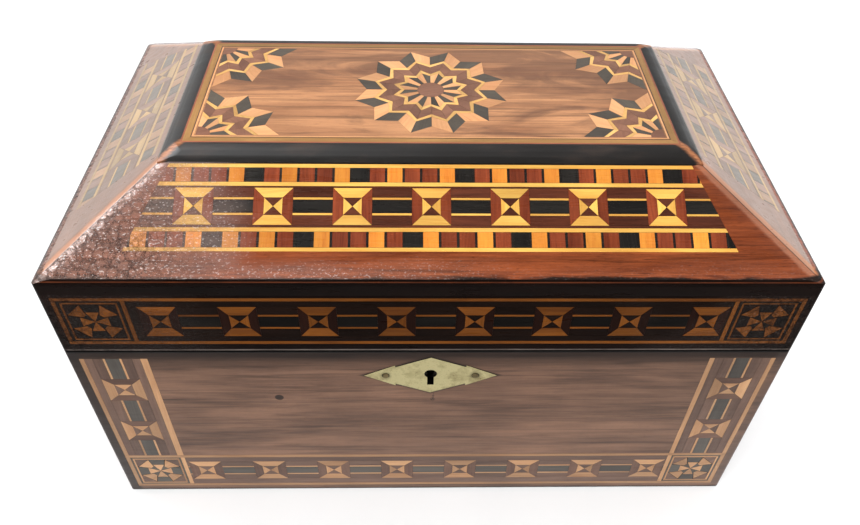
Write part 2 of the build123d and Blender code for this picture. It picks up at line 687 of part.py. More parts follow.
with BuildPart() as lid_front_band:
    with BuildSketch(FRONT_FACE):
        with Locations((0, (LID_BAND_Z[0] + LID_BAND_Z[1]) / 2)):
            Rectangle(2 * LID_BAND_X, LID_BAND_Z[1] - LID_BAND_Z[0])
    extrude(amount=-VENEER)
save(lid_front_band, "lid_front_band")

lid_front_skin = mitred_strip("front", lid_veneer_outline)
with BuildPart() as lid_front_veneer:
    add(lid_front_skin.part)
    add(lid_front_band.part, mode=Mode.SUBTRACT)
save(lid_front_veneer, "lid_front_veneer")
lid_back_skin = mitred_strip("back", lid_veneer_outline)
with BuildPart() as lid_back_veneer:
    add(lid_back_skin.part)
    cut_hinge_mortises((LID_BOTTOM, LID_BOTTOM + LEAF))
save(lid_back_veneer, "lid_back_veneer")
save(together([mitred_strip(side, lid_veneer_outline) for side in ("left", "right")]), "lid_end_veneers")
edging = [mitred_strip(side, edging_outline, eave_round=True, within=SLOPE_HULL) for side in SIDES]
save(together(edging), "lid_eave_edging")

# Lid: the four slopes, each a mitred board with a veneer that is cut away for its inlaid band
for side in SIDES:
    band, shift = (LONG_BAND, 0) if side in ("front", "back") else (END_BAND, END_BAND_SHIFT)
    along_sign = sum(SIDES[side][2])
    with BuildPart() as slope_band:
        with BuildSketch(slope_plane(side)):
            slope_band_outline(band, shift * along_sign)
        extrude(amount=-VENEER)
    slope_skin = mitred_strip(side, slope_veneer_outline, within=SLOPE_HULL)
    with BuildPart() as slope_veneer:
        add(slope_skin.part)
        add(slope_band.part, mode=Mode.SUBTRACT)
    save(slope_band, f"{side}_slope_band")
    save(slope_veneer, f"{side}_slope_veneer")
save(together([mitred_strip(side, slope_board_outline) for side in SIDES]), "slope_boards")

# Lid: flat top with its veneer, stars and bullnose moulding
top_step_z = slope_z(MOULDING_IN, VENEER)
with BuildPart() as top_board:
    with BuildSketch(Plane.XY.offset(TOP_BOARD_BOTTOM)):
        Rectangle(WIDTH - 2 * MOULDING_IN, DEPTH - 2 * MOULDING_IN)
    extrude(amount=top_step_z - TOP_BOARD_BOTTOM)
    with BuildSketch(Plane.XY.offset(top_step_z)):
        Rectangle(WIDTH - 2 * TOP_INSET, DEPTH - 2 * TOP_INSET)
    extrude(amount=LID_TOP - VENEER - top_step_z)
save(top_board, "top_board")

with BuildPart() as top_stars:
    with BuildSketch(Plane.XY.offset(LID_TOP)):
        stars_outline()
    extrude(amount=-VENEER)
save(top_stars, "top_stars")

with BuildPart() as top_veneer:
    with BuildSketch(Plane.XY.offset(LID_TOP)):
        Rectangle(WIDTH - 2 * TOP_INSET, DEPTH - 2 * TOP_INSET)
    extrude(amount=-VENEER)
    add(top_stars.part, mode=Mode.SUBTRACT)
save(top_veneer, "top_veneer")
moulding = [mitred_strip(side, moulding_outline, moulded=True, within=MOULDING_HULL) for side in SIDES]
save(together(moulding), "top_moulding")

with BuildPart() as lid_lining:
    with BuildSketch(Plane.XY.offset(LID_LINING_TOP)):
        Rectangle(WIDTH - 2 * LID_WALL, DEPTH - 2 * LID_WALL)
    extrude(amount=-LID_LINING)
save(lid_lining, "lid_lining")

# Link plate under the lid's front with the two staples that the bolt passes through
hole_low, hole_high, hole_width = STAPLE_HOLE
with BuildPart() as link_plate:
    block((-LINK_HALF, LINK_HALF), LINK_Y, (LID_BOTTOM, LID_BOTTOM + SHEET))
    with BuildSketch(Plane.XY.offset(LID_BOTTOM)):
        with Locations(*((x, STAPLE_Y) for x in STAPLE_X)):
            Rectangle(*STAPLE_SIZE)
    extrude(amount=STAPLE_BOTTOM - LID_BOTTOM)
    hole_y = (STAPLE_Y - hole_width / 2, STAPLE_Y + hole_width / 2)
    block((-LINK_HALF, LINK_HALF), hole_y, (hole_low, hole_high), Mode.SUBTRACT)
    cut_screws(link_frames, SCREW_LENGTH)
save(link_plate, "link_plate")
save(screws(link_frames, SCREW_LENGTH), "link_screws")

# Lift-out pieces: a rebated lid with a turned knob over each compartment, and the mixing bowl
lid_x = opening_far - opening_near + 2 * (SEAT_REBATE - LID_PLAY)
lid_y = 2 * (opening_y + SEAT_REBATE - LID_PLAY)
for side, sign in (("left", -1), ("right", 1)):
    centre = sign * opening_x
    with BuildPart() as caddy_lid:
        with BuildSketch(Plane.XY.offset(SEAT_TOP)):
            with Locations((centre, 0)):
                RectangleRounded(lid_x, lid_y, LID_CORNER)
                Circle(SPIGOT_RADIUS + FIT, mode=Mode.SUBTRACT)
        extrude(amount=-CADDY_LID)
    save(caddy_lid, f"{side}_caddy_lid")

    with BuildPart() as knob:
        with BuildSketch(Plane(origin=(centre, 0, SEAT_TOP), x_dir=(1, 0, 0), z_dir=(0, -1, 0))):
            with BuildLine():
                spigot = ((0, -SPIGOT), (SPIGOT_RADIUS, -SPIGOT), (SPIGOT_RADIUS, 0))
                Polyline((0, KNOB_TOP), *spigot, (KNOB_FOOT[0], 0), KNOB_FOOT)
                ThreePointArc(KNOB_FOOT, KNOB_WAIST, KNOB_WIDEST)
                Spline(KNOB_WIDEST, KNOB_SHOULDER, (0, KNOB_TOP), tangents=KNOB_TOP_TANGENTS)
            make_face()
        revolve(axis=Axis((centre, 0, 0), (0, 0, 1)))
    save(knob, f"{side}_lid_knob")

with BuildPart() as mixing_bowl:
    with BuildSketch(Plane.XZ):
        with BuildLine():
            Polyline(BOWL_INSIDE[-1], *BOWL_FOOT)
            Spline(*BOWL_OUTSIDE)
            Polyline(*BOWL_RIM)
            Spline(*BOWL_INSIDE)
        make_face()
    revolve(axis=Axis.Z)
save(mixing_bowl, "mixing_bowl")
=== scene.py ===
import math
import random

import bmesh
import bpy
from mathutils import Matrix, Vector


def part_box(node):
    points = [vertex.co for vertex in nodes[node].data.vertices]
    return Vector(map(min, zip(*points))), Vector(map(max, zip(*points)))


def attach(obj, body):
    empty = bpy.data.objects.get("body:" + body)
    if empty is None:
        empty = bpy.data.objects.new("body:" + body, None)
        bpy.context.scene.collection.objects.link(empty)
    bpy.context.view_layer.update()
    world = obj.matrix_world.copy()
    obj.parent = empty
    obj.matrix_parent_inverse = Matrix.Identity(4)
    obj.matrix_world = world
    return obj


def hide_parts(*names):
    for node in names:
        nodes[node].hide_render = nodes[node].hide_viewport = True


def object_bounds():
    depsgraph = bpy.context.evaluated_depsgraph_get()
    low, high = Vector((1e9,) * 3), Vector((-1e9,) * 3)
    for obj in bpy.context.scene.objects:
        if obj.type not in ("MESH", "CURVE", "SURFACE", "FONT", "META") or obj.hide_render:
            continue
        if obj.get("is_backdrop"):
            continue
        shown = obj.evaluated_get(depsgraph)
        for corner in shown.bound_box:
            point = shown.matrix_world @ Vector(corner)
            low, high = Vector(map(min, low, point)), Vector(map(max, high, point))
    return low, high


# Looks of a hip-lidded parquetry tea caddy. Inlay drawings are in millimetres on the plane of their
# panel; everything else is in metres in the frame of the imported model.
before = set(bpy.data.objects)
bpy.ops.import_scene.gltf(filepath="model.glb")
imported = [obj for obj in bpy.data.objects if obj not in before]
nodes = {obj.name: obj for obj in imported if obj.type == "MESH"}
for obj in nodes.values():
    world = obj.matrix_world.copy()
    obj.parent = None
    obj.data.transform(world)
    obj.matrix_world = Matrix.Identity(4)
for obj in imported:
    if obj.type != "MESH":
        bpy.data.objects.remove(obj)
cad_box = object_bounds()

MM = 0.001
GLUE_GAP = 0.05
INLAY_DEPTH = 0.7
BED_TOP = -0.12
BED_DEPTH = 0.95
PROUD = 0.03
UP = Vector((0, 0, 1))


# ---------------------------------------------------------------- places, all read from the frame
class Plate:
    """A flat face of the caddy with its own millimetre drawing plane."""

    def __init__(self, origin, u, v):
        self.origin = Vector(origin)
        self.u = Vector(u).normalized()
        self.v = Vector(v).normalized()
        self.n = self.u.cross(self.v)

    def at(self, x, y, height=0.0):
        """World point for a drawing point and a height out of the face, all in millimetres."""
        return self.origin + (self.u * x + self.v * y + self.n * height) * MM

    def flat(self, point):
        """Drawing point of a world point, in millimetres."""
        offset = Vector(point) - self.origin
        return offset.dot(self.u) / MM, offset.dot(self.v) / MM


slope_low, slope_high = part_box("front_slope_veneer")
edging_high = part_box("lid_eave_edging")[1]
top_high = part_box("top_veneer")[1]
HALF_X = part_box("base_end_veneers")[1].x
HALF_Y = -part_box("base_front_veneer")[0].y
SLOPE_RISE = (slope_high.z - edging_high.z) / (slope_high.y - slope_low.y)
SLOPE_ANGLE = math.atan(SLOPE_RISE)
EDGING_IN = HALF_Y + slope_low.y
EAVE_Z = edging_high.z - EDGING_IN * SLOPE_RISE
# Each side's middle, the way in, the way along it seen from outside, and half its length
SIDES = {
    "front": (Vector((0, -HALF_Y, 0)), Vector((0, 1, 0)), Vector((1, 0, 0)), HALF_X),
    "back": (Vector((0, HALF_Y, 0)), Vector((0, -1, 0)), Vector((-1, 0, 0)), HALF_X),
    "left": (Vector((-HALF_X, 0, 0)), Vector((1, 0, 0)), Vector((0, -1, 0)), HALF_Y),
    "right": (Vector((HALF_X, 0, 0)), Vector((-1, 0, 0)), Vector((0, 1, 0)), HALF_Y),
}


def side_plate(side):
    """Vertical face of a side, drawn from the middle of its foot."""
    middle, _, along, _ = SIDES[side]
    return Plate(middle, along, UP)


def slope_plate(side):
    """Sloping face of the lid, drawn from the middle of its eave and up the slope."""
    middle, inward, along, _ = SIDES[side]
    climb = inward * math.cos(SLOPE_ANGLE) + UP * math.sin(SLOPE_ANGLE)
    return Plate(middle + UP * EAVE_Z, along, climb)


# ---------------------------------------------------------------- colour and node helpers
def srgb(red, green, blue):
    """Linear colour from an ordinary 0-255 one."""
    def linear(value):
        value /= 255
        return value / 12.92 if value <= 0.04045 else ((value + 0.055) / 1.055) ** 2.4
    return (linear(red), linear(green), linear(blue), 1.0)


class Graph:
    """Short-hand for building a node tree."""

    def __init__(self, owner):
        owner.use_nodes = True
        self.tree = owner.node_tree
        self.tree.nodes.clear()

    def add(self, kind, **settings):
        node = self.tree.nodes.new(kind)
        for key, value in settings.items():
            setattr(node, key, value)
        return node

    def link(self, source, target):
        self.tree.links.new(source, target)

    def feed(self, target, value):
        """Links a socket to another, or sets it to a plain value."""
        if hasattr(value, "is_linked"):
            self.link(value, target)
        else:
            target.default_value = value

    def math(self, operation, first, second=0.0, clamp=False):
        node = self.add("ShaderNodeMath", operation=operation, use_clamp=clamp)
        self.feed(node.inputs[0], first)
        self.feed(node.inputs[1], second)
        return node.outputs[0]

    def stretch(self, vector, scale, offset=(0, 0, 0), turn=(0, 0, 0)):
        node = self.add("ShaderNodeMapping")
        self.link(vector, node.inputs["Vector"])
        node.inputs["Scale"].default_value = scale
        node.inputs["Location"].default_value = offset
        node.inputs["Rotation"].default_value = turn
        return node.outputs[0]

    def noise(self, vector, scale=1.0, detail=4.0, roughness=0.55, distortion=0.0):
        node = self.add("ShaderNodeTexNoise")
        self.link(vector, node.inputs["Vector"])
        node.inputs["Scale"].default_value = scale
        node.inputs["Detail"].default_value = detail
        node.inputs["Roughness"].default_value = roughness
        node.inputs["Distortion"].default_value = distortion
        return node.outputs["Fac"]

    def cracks(self, vector, scale):
        """Distance to the nearest cell wall, 0 on the crack."""
        node = self.add("ShaderNodeTexVoronoi", feature="DISTANCE_TO_EDGE")
        self.link(vector, node.inputs["Vector"])
        node.inputs["Scale"].default_value = scale
        return node.outputs["Distance"]

    def ramp(self, value, low, high, start=0.0, end=1.0):
        """Straight map of a value from (low..high) to (start..end), clamped."""
        node = self.add("ShaderNodeMapRange")
        self.link(value, node.inputs["Value"])
        node.inputs["From Min"].default_value = low
        node.inputs["From Max"].default_value = high
        node.inputs["To Min"].default_value = start
        node.inputs["To Max"].default_value = end
        return node.outputs["Result"]

    def mix(self, factor, first, second, blend="MIX"):
        node = self.add("ShaderNodeMix", data_type="RGBA", blend_type=blend)
        self.feed(node.inputs["Factor"], factor)
        self.feed(node.inputs[6], first)
        self.feed(node.inputs[7], second)
        return node.outputs[2]

    def bump(self, height, strength, distance, normal=None):
        node = self.add("ShaderNodeBump")
        node.inputs["Strength"].default_value = strength
        node.inputs["Distance"].default_value = distance
        self.link(height, node.inputs["Height"])
        if normal is not None:
            self.link(normal, node.inputs["Normal"])
        return node.outputs["Normal"]

    def object_mm(self, axis="x"):
        """Object coordinates in millimetres, turned so that the grain runs along the first one."""
        turn = {"x": (0, 0, 0), "y": (0, 0, -math.pi / 2), "z": (0, math.pi / 2, 0)}[axis]
        source = self.add("ShaderNodeTexCoord").outputs["Object"]
        return self.stretch(source, (1 / MM,) * 3, turn=turn)

    def tile_mm(self):
        """Drawing coordinates of an inlaid tile, along and across its own grain."""
        return self.add("ShaderNodeAttribute", attribute_name="grain").outputs["Vector"]

    def parts(self, vector):
        """The x, y and z of a vector."""
        node = self.add("ShaderNodeSeparateXYZ")
        self.link(vector, node.inputs[0])
        return node.outputs["X"], node.outputs["Y"], node.outputs["Z"]

    def near(self, value, target, reach, soft=0.3):
        """1 where a value is within reach of a target, falling to 0 over a soft edge."""
        gap = self.math("ABSOLUTE", self.math("SUBTRACT", value, target))
        return self.ramp(gap, reach, reach + soft, 1.0, 0.0)


class Surface(Graph):
    """Node tree of one material with a single principled shader."""

    def __init__(self, name):
        self.material = bpy.data.materials.new(name)
        super().__init__(self.material)
        self.shader = self.add("ShaderNodeBsdfPrincipled")
        output = self.add("ShaderNodeOutputMaterial")
        self.link(self.shader.outputs["BSDF"], output.inputs["Surface"])

    def set(self, **values):
        for key, value in values.items():
            self.feed(self.shader.inputs[key.replace("_", " ")], value)


# ---------------------------------------------------------------- materials
# How each panel's varnish looks: the crazing zone and haze follow the wear of that panel, and the pale colour
# mixed in at flat angles is a painted sheen, strongest on the end slopes
FINISHES = {
    "slope": {"rough": 0.27, "coat": 0.15, "craze": 0.9, "zone": "slope", "haze": 0.4, "specular": 0.3,
              "grazing_sheen": 0.0},
    "end": {"rough": 0.36, "coat": 0.25, "craze": 0.2, "grazing_sheen": 0.24},
    "top": {"rough": 0.4, "coat": 0.12, "craze": 0.1, "grazing_sheen": 0.03},
    "fascia": {"rough": 0.32, "coat": 0.0, "craze": 0.9, "zone": "ends", "haze": 0.03, "specular": 0.08,
               "grazing_sheen": 0.0},
    "base": {"rough": 0.42, "coat": 0.12, "craze": 0.1, "grazing_sheen": 0.03},
}
# Darkest and lightest tone of each wood, one table for each panel, partly because the varnish yellowed
# unevenly and partly as painted light: the fascia table is darkened as painted shade, and the end and base
# tables are greyed as a painted sheen of the pale surround
SLOPE_WOODS = {
    "box": (srgb(205, 140, 58), srgb(240, 196, 100)),
    "orange": (srgb(196, 108, 36), srgb(232, 156, 62)),
    "red": (srgb(86, 30, 15), srgb(156, 74, 42)),
    "brown": (srgb(56, 26, 16), srgb(104, 54, 36)),
    "ebony": (srgb(20, 18, 17), srgb(42, 39, 36)),
}
# Greyed partly as a painted reflection of the pale surround at a flat angle
END_WOODS_WITH_SHEEN = {
    "box": (srgb(165, 132, 84), srgb(205, 170, 112)),
    "orange": (srgb(148, 110, 80), srgb(188, 146, 110)),
    "red": (srgb(112, 82, 72), srgb(160, 126, 112)),
    "brown": (srgb(92, 68, 58), srgb(138, 108, 94)),
    "ebony": (srgb(66, 64, 60), srgb(106, 102, 96)),
}
TOP_WOODS = {
    "box": (srgb(198, 146, 78), srgb(234, 188, 114)),
    "red": (srgb(128, 66, 44), srgb(180, 106, 78)),
    "brown": (srgb(98, 60, 44), srgb(142, 98, 76)),
    "ebony": (srgb(30, 26, 22), srgb(56, 50, 44)),
    "salmon": (srgb(192, 130, 82), srgb(228, 172, 120)),
    "slate": (srgb(54, 48, 42), srgb(88, 80, 70)),
    "satinwood": (srgb(134, 96, 48), srgb(178, 134, 76)),
}
# Darkened partly by dark shellac and partly as painted shade
FASCIA_WOODS_SHADED = {
    "box": (srgb(82, 42, 11), srgb(126, 74, 24)),
    "red": (srgb(20, 9, 6), srgb(40, 18, 11)),
    "brown": (srgb(14, 8, 5), srgb(30, 17, 12)),
    "ebony": (srgb(10, 9, 9), srgb(24, 22, 20)),
    "slate": (srgb(14, 12, 10), srgb(30, 26, 22)),
}
# Greyed partly as a painted sheen
BASE_WOODS_WITH_SHEEN = {
    "box": (srgb(160, 114, 76), srgb(204, 160, 118)),
    "red": (srgb(84, 56, 45), srgb(124, 92, 76)),
    "brown": (srgb(84, 60, 50), srgb(124, 96, 82)),
    "ebony": (srgb(64, 60, 56), srgb(96, 90, 84)),
    "slate": (srgb(64, 58, 53), srgb(98, 90, 82)),
}
PALETTES = {"slope": SLOPE_WOODS, "end": END_WOODS_WITH_SHEEN, "top": TOP_WOODS, "fascia": FASCIA_WOODS_SHADED,
            "base": BASE_WOODS_WITH_SHEEN}
# Colour of the painted sheen seen at flat angles, standing in for the pale surround reflected in the varnish
GRAZING_SHEEN = srgb(198, 184, 172)
HAZE = srgb(176, 142, 128)
# Colour of the painted glints on crazed varnish
PAINTED_GLINT = srgb(236, 224, 218)
HIP_OFFSET = (HALF_X - HALF_Y) / MM
EAVE_MM = EAVE_Z / MM
# Bands beside a hip: a rubbed band on the end slopes, and a pale band on the front and back slopes that is
# partly rubbed wear and partly a painted highlight of the rounded hip; middle, reach and soft edge of each in
# millimetres, its strength and its colour
HIP_WEAR_AND_HIGHLIGHT = ((1.4, 1.0, 0.8, 0.8, srgb(184, 116, 72)), (-1.2, 0.9, 1.2, 0.45, srgb(180, 124, 96)))


def hip_distance(g, place):
    """Plan distance from the nearest hip of the lid, positive on the end slopes."""
    x, y, _ = g.parts(place)
    across = g.math("SUBTRACT", g.math("ABSOLUTE", x), g.math("ABSOLUTE", y))
    return g.math("DIVIDE", g.math("SUBTRACT", across, HIP_OFFSET), math.sqrt(2))


def on_slope(g):
    """1 on faces that lean like the slopes or flatter, 0 on upright ones."""
    facing = g.parts(g.add("ShaderNodeNewGeometry").outputs["True Normal"])[2]
    return g.ramp(facing, 0.8, 0.86)


def crazed_part(g, place, zone):
    """How strongly the varnish is crazed at each place, from 0 to 1."""
    x, _, z = g.parts(place)
    patches = g.noise(g.stretch(place, (0.02,) * 3, offset=(4, 1, 2)), detail=3)
    if zone == "patches":
        return g.ramp(patches, 0.45, 0.62)
    ragged = g.math("MULTIPLY", g.math("SUBTRACT", patches, 0.5), 90)
    if zone == "ends":
        return g.ramp(g.math("ADD", g.math("ABSOLUTE", x), ragged), 88, 135, 0.06, 1.0)
    left = g.ramp(g.math("ADD", x, ragged), -66, -116)
    level = g.math("ADD", z, g.math("MULTIPLY", ragged, 0.06))
    near_eave = g.ramp(level, EAVE_MM + 5, EAVE_MM + 2.5, 0.0, 0.4)
    crazed = g.math("MAXIMUM", left, g.math("MULTIPLY", near_eave, g.ramp(x, 30, -40, 0.15, 1.0)))
    return g.math("MULTIPLY", crazed, on_slope(g)) if zone == "eave" else crazed


def crazing(g, place, zone):
    """Depth of the cracks in crazed varnish and how crazed each place is, both from 0 to 1."""
    wander = g.add("ShaderNodeTexNoise")
    g.link(g.stretch(place, (0.45,) * 3), wander.inputs["Vector"])
    strayed = g.add("ShaderNodeVectorMath", operation="ADD")
    g.link(place, strayed.inputs[0])
    g.link(g.stretch(wander.outputs["Color"], (3.4,) * 3), strayed.inputs[1])
    coarse = g.ramp(g.cracks(strayed.outputs[0], 0.3), 0.0, 0.09)
    fine = g.ramp(g.cracks(g.stretch(strayed.outputs[0], (1.0, 1.3, 1.3)), 0.62), 0.0, 0.1, 0.5, 1.0)
    crazed = crazed_part(g, place, zone)
    crack = g.math("SUBTRACT", 1.0, g.math("MULTIPLY", coarse, fine))
    return g.math("MULTIPLY", crack, g.math("POWER", crazed, 1.6)), crazed


def grain(g, vector, dark, light, figure, streaks, shade):
    """Colour of bare wood from its broad figure, fibres and dark streaks, and the height of the fibres."""
    broad = g.noise(g.stretch(vector, (0.012, 0.11, 0.11)), detail=3, distortion=0.6)
    fibre = g.noise(g.stretch(vector, (0.05, 1.2, 1.2)), detail=6, roughness=0.7)
    factor = g.math("ADD", g.math("MULTIPLY", g.ramp(broad, 0.32, 0.68), figure),
                    g.math("MULTIPLY", g.ramp(fibre, 0.3, 0.72), 1 - figure), clamp=True)
    colour = g.mix(factor, dark, light)
    if streaks:
        bands = g.noise(g.stretch(vector, (0.007, 0.26, 0.26), offset=(3, 9, 1)), detail=8, roughness=0.66,
                        distortion=1.3)
        colour = g.mix(g.ramp(bands, 0.5, 0.7, 0.0, streaks), colour, shade)
    return colour, fibre


def tile_tone(g, colour):
    """Each inlaid tile is a little darker or lighter than its neighbours."""
    tone = g.add("ShaderNodeAttribute", attribute_name="tone").outputs["Fac"]
    tone_colour = g.mix(g.ramp(tone, 0, 1), (0.74, 0.72, 0.7, 1), (1.2, 1.16, 1.1, 1))
    return g.mix(1.0, colour, tone_colour, "MULTIPLY")


def aged(g, place, colour, crack, crazed, craze, haze, grazing_sheen, shade):
    """Colour under old varnish: grime, haze and painted glints where crazed, dark cracks, and a painted sheen
    at flat angles.
    """
    grime = g.noise(g.stretch(place, (0.03,) * 3), detail=5)
    colour = g.mix(g.ramp(grime, 0.38, 0.7, 0.0, 0.35), colour, g.mix(0.55, colour, (0, 0, 0, 1)))
    colour = g.mix(g.math("MULTIPLY", crazed, haze), colour, HAZE)
    # Painted glints: pale specks where the varnish is crazed
    speck = g.noise(g.stretch(place, (0.9, 1.6, 1.6)), detail=2)
    painted_glint = g.ramp(speck, 0.6, 0.66, 0.0, craze * haze * 2)
    colour = g.mix(g.math("MULTIPLY", crazed, painted_glint), colour, PAINTED_GLINT)
    colour = g.mix(g.math("MULTIPLY", crack, min(1.0, craze * 1.1)), colour, shade)
    # Painted sheen: a pale colour mixed in where the surface is seen at a flat angle
    grazing = g.add("ShaderNodeLayerWeight")
    grazing.inputs["Blend"].default_value = 0.5
    return g.mix(g.ramp(grazing.outputs["Facing"], 0.2, 0.65, 0.0, grazing_sheen), colour, GRAZING_SHEEN)


def wood(name, dark, light, coords="tile", rough=0.35, coat=0.3, craze=0.2, figure=0.5, pores=0.35,
         streaks=0.0, zone="patches", haze=0.0, grazing_sheen=0.12, specular=0.42, change=None, bright_hip=False):
    """Varnished wood: figure, fibres, open pores, per-tile tone, local changes and crazed shellac."""
    g = Surface(name)
    vector = g.tile_mm() if coords == "tile" else g.object_mm(coords)
    shade = tuple(c * 0.2 for c in dark[:3]) + (1,)
    colour, fibre = grain(g, vector, dark, light, figure, streaks, shade)
    pore = g.noise(g.stretch(vector, (0.3, 4.2, 4.2), offset=(7, 3, 5)), detail=2)
    colour = g.mix(g.ramp(pore, 0.6, 0.72, 0.0, pores), colour, shade)
    if coords == "tile":
        colour = tile_tone(g, colour)
    place = g.object_mm()
    if change:
        colour = change(g, place, colour)
    crack, crazed = crazing(g, place, zone)
    colour = aged(g, place, colour, crack, crazed, craze, haze, grazing_sheen, shade)
    smear = g.noise(g.stretch(place, (0.05, 0.4, 0.4)), detail=4)
    flat = g.math("SUBTRACT", 1.0, crack)
    normal = g.bump(fibre, 0.12, 0.1 * MM)
    normal = g.bump(pore, 0.1, 0.1 * MM, normal)
    normal = g.bump(flat, craze, 0.16 * MM, normal)
    if bright_hip:
        coat = g.ramp(g.near(hip_distance(g, place), -2.6, 2.4, 2.0), 0, 1, coat, 1.0)
    g.set(Base_Color=colour, Roughness=g.ramp(smear, 0.3, 0.7, rough - 0.08, rough + 0.12), Normal=normal,
          Coat_Weight=coat, Coat_Roughness=0.14, Coat_Normal=g.bump(flat, craze, 0.14 * MM),
          Specular_IOR_Level=specular)
    return g.material


def hip_wear_and_highlight(g, place, colour):
    """Rubbed wood beside the hips, partly a painted highlight of the rounded hip, with a thin dark joint on
    each and a dark joint under the moulding.
    """
    ragged = g.noise(g.stretch(place, (0.16,) * 3), detail=5, roughness=0.7)
    distance = hip_distance(g, place)
    wobble = g.math("ADD", distance, g.ramp(ragged, 0.3, 0.7, -0.5, 0.5))
    # The second band is partly a painted highlight where the rounded hip would catch the light
    for middle, reach, soft, amount, band_colour in HIP_WEAR_AND_HIGHLIGHT:
        band_mask = g.math("MULTIPLY", g.near(wobble, middle, reach, soft), amount)
        colour = g.mix(band_mask, colour, band_colour)
    colour = g.mix(g.math("MULTIPLY", g.near(distance, 0.0, 0.12, 0.25), 0.85), colour, srgb(40, 20, 12))
    _, _, z = g.parts(place)
    joint = slope_high.z / MM
    return g.mix(g.ramp(z, joint - 0.4, joint - 0.3), colour, srgb(22, 18, 16))


def worn_line(g, place, colour, level, reach, band_colour, strength):
    """Rubbed line along an edge at one height."""
    _, _, z = g.parts(place)
    ragged = g.noise(g.stretch(place, (0.05, 0.05, 0.3)), detail=6, roughness=0.7)
    amount = g.math("MULTIPLY", g.near(z, level, reach, reach), g.ramp(ragged, 0.36, 0.6, 0.25, strength))
    return g.mix(amount, colour, band_colour)


def eave_change(g, place, colour):
    """Top face of the eave edging as brown as the slope above it, and a rubbed line along the eave itself."""
    fibre = g.noise(g.stretch(place, (0.09, 1.8, 1.8)), detail=5)
    brown = g.mix(g.ramp(fibre, 0.3, 0.7), *ROSE_PAIR)
    _, _, z = g.parts(place)
    ragged = g.noise(g.stretch(place, (0.06, 0.3, 0.3)), detail=5)
    level = g.math("ADD", z, g.ramp(ragged, 0.3, 0.7, -0.5, 0.5))
    shown = g.math("MULTIPLY", on_slope(g), g.ramp(level, EAVE_MM + 0.9, EAVE_MM + 1.5))
    colour = g.mix(shown, colour, hip_wear_and_highlight(g, place, brown))
    return worn_line(g, place, colour, EAVE_MM + 0.1, 0.12, srgb(104, 50, 24), 0.7)


def lid_front_change(g, place, colour):
    """Pale scuffed arris along the lower edge of the lid, and a painted shadow of the joint gap: a near-black
    strip at its very foot.
    """
    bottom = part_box("lid_front_veneer")[0].z / MM
    colour = worn_line(g, place, colour, bottom + 0.7, 0.25, srgb(120, 110, 104), 0.8)
    _, _, z = g.parts(place)
    # Painted shadow of the gap between lid and base
    return g.mix(g.ramp(z, bottom + 0.3, bottom + 0.15), colour, srgb(4, 3, 3))


def top_change(g, place, colour):
    """Darker figure drifting over the back and the right of the top."""
    x, y, _ = g.parts(place)
    drift = g.noise(g.stretch(place, (0.012, 0.045, 0.045), offset=(2, 6, 0)), detail=5, distortion=2.0)
    back = g.math("ADD", g.ramp(y, -25, 30, -0.12, 0.12), g.ramp(g.math("ABSOLUTE", x), 20, 90, 0.0, 0.06))
    back = g.math("ADD", back, g.ramp(x, -40, 90, -0.06, 0.08))
    return g.mix(g.ramp(g.math("ADD", drift, back), 0.43, 0.62, 0.0, 0.7), colour, srgb(90, 56, 40))


# Marks on the base front, in millimetres: an old plugged hole (middle and radius) and a short upright crack
PLUG_X, PLUG_Z, PLUG_RADIUS = -66.0, 78.5, 1.7
CRACK_X, CRACK_LOW, CRACK_HIGH = 1.5, 75.0, 82.5
PIN_RADIUS = 1.3


def distance_to(g, x, z, x0, z0):
    """Distance from the point (x0, z0) of the front, in millimetres."""
    across = g.math("POWER", g.math("SUBTRACT", x, x0), 2.0)
    up = g.math("POWER", g.math("SUBTRACT", z, z0), 2.0)
    return g.math("SQRT", g.math("ADD", across, up))


def darkened_edges(g, x, z, colour):
    """Darker along the top, the foot and both ends of the base front, with a near-black painted shadow of the
    joint under the lid along the top edge.
    """
    top_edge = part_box("base_front_veneer")[1].z / MM
    side_edge = HALF_X / MM
    colour = g.mix(g.ramp(z, top_edge - 13, top_edge - 3, 0.0, 0.9), colour, srgb(22, 11, 8))
    colour = g.mix(g.ramp(x, 7 - side_edge, 5 - side_edge, 0.0, 0.9), colour, srgb(36, 29, 27))
    colour = g.mix(g.ramp(x, side_edge - 6, side_edge - 3.5, 0.0, 0.4), colour, srgb(76, 64, 60))
    # Painted shadow of the gap between base and lid along the top edge
    colour = g.mix(g.ramp(z, top_edge - 0.9, top_edge - 0.6), colour, srgb(5, 4, 4))
    return g.mix(g.ramp(z, 2.6, 0.9, 0.0, 0.85), colour, srgb(38, 26, 22))


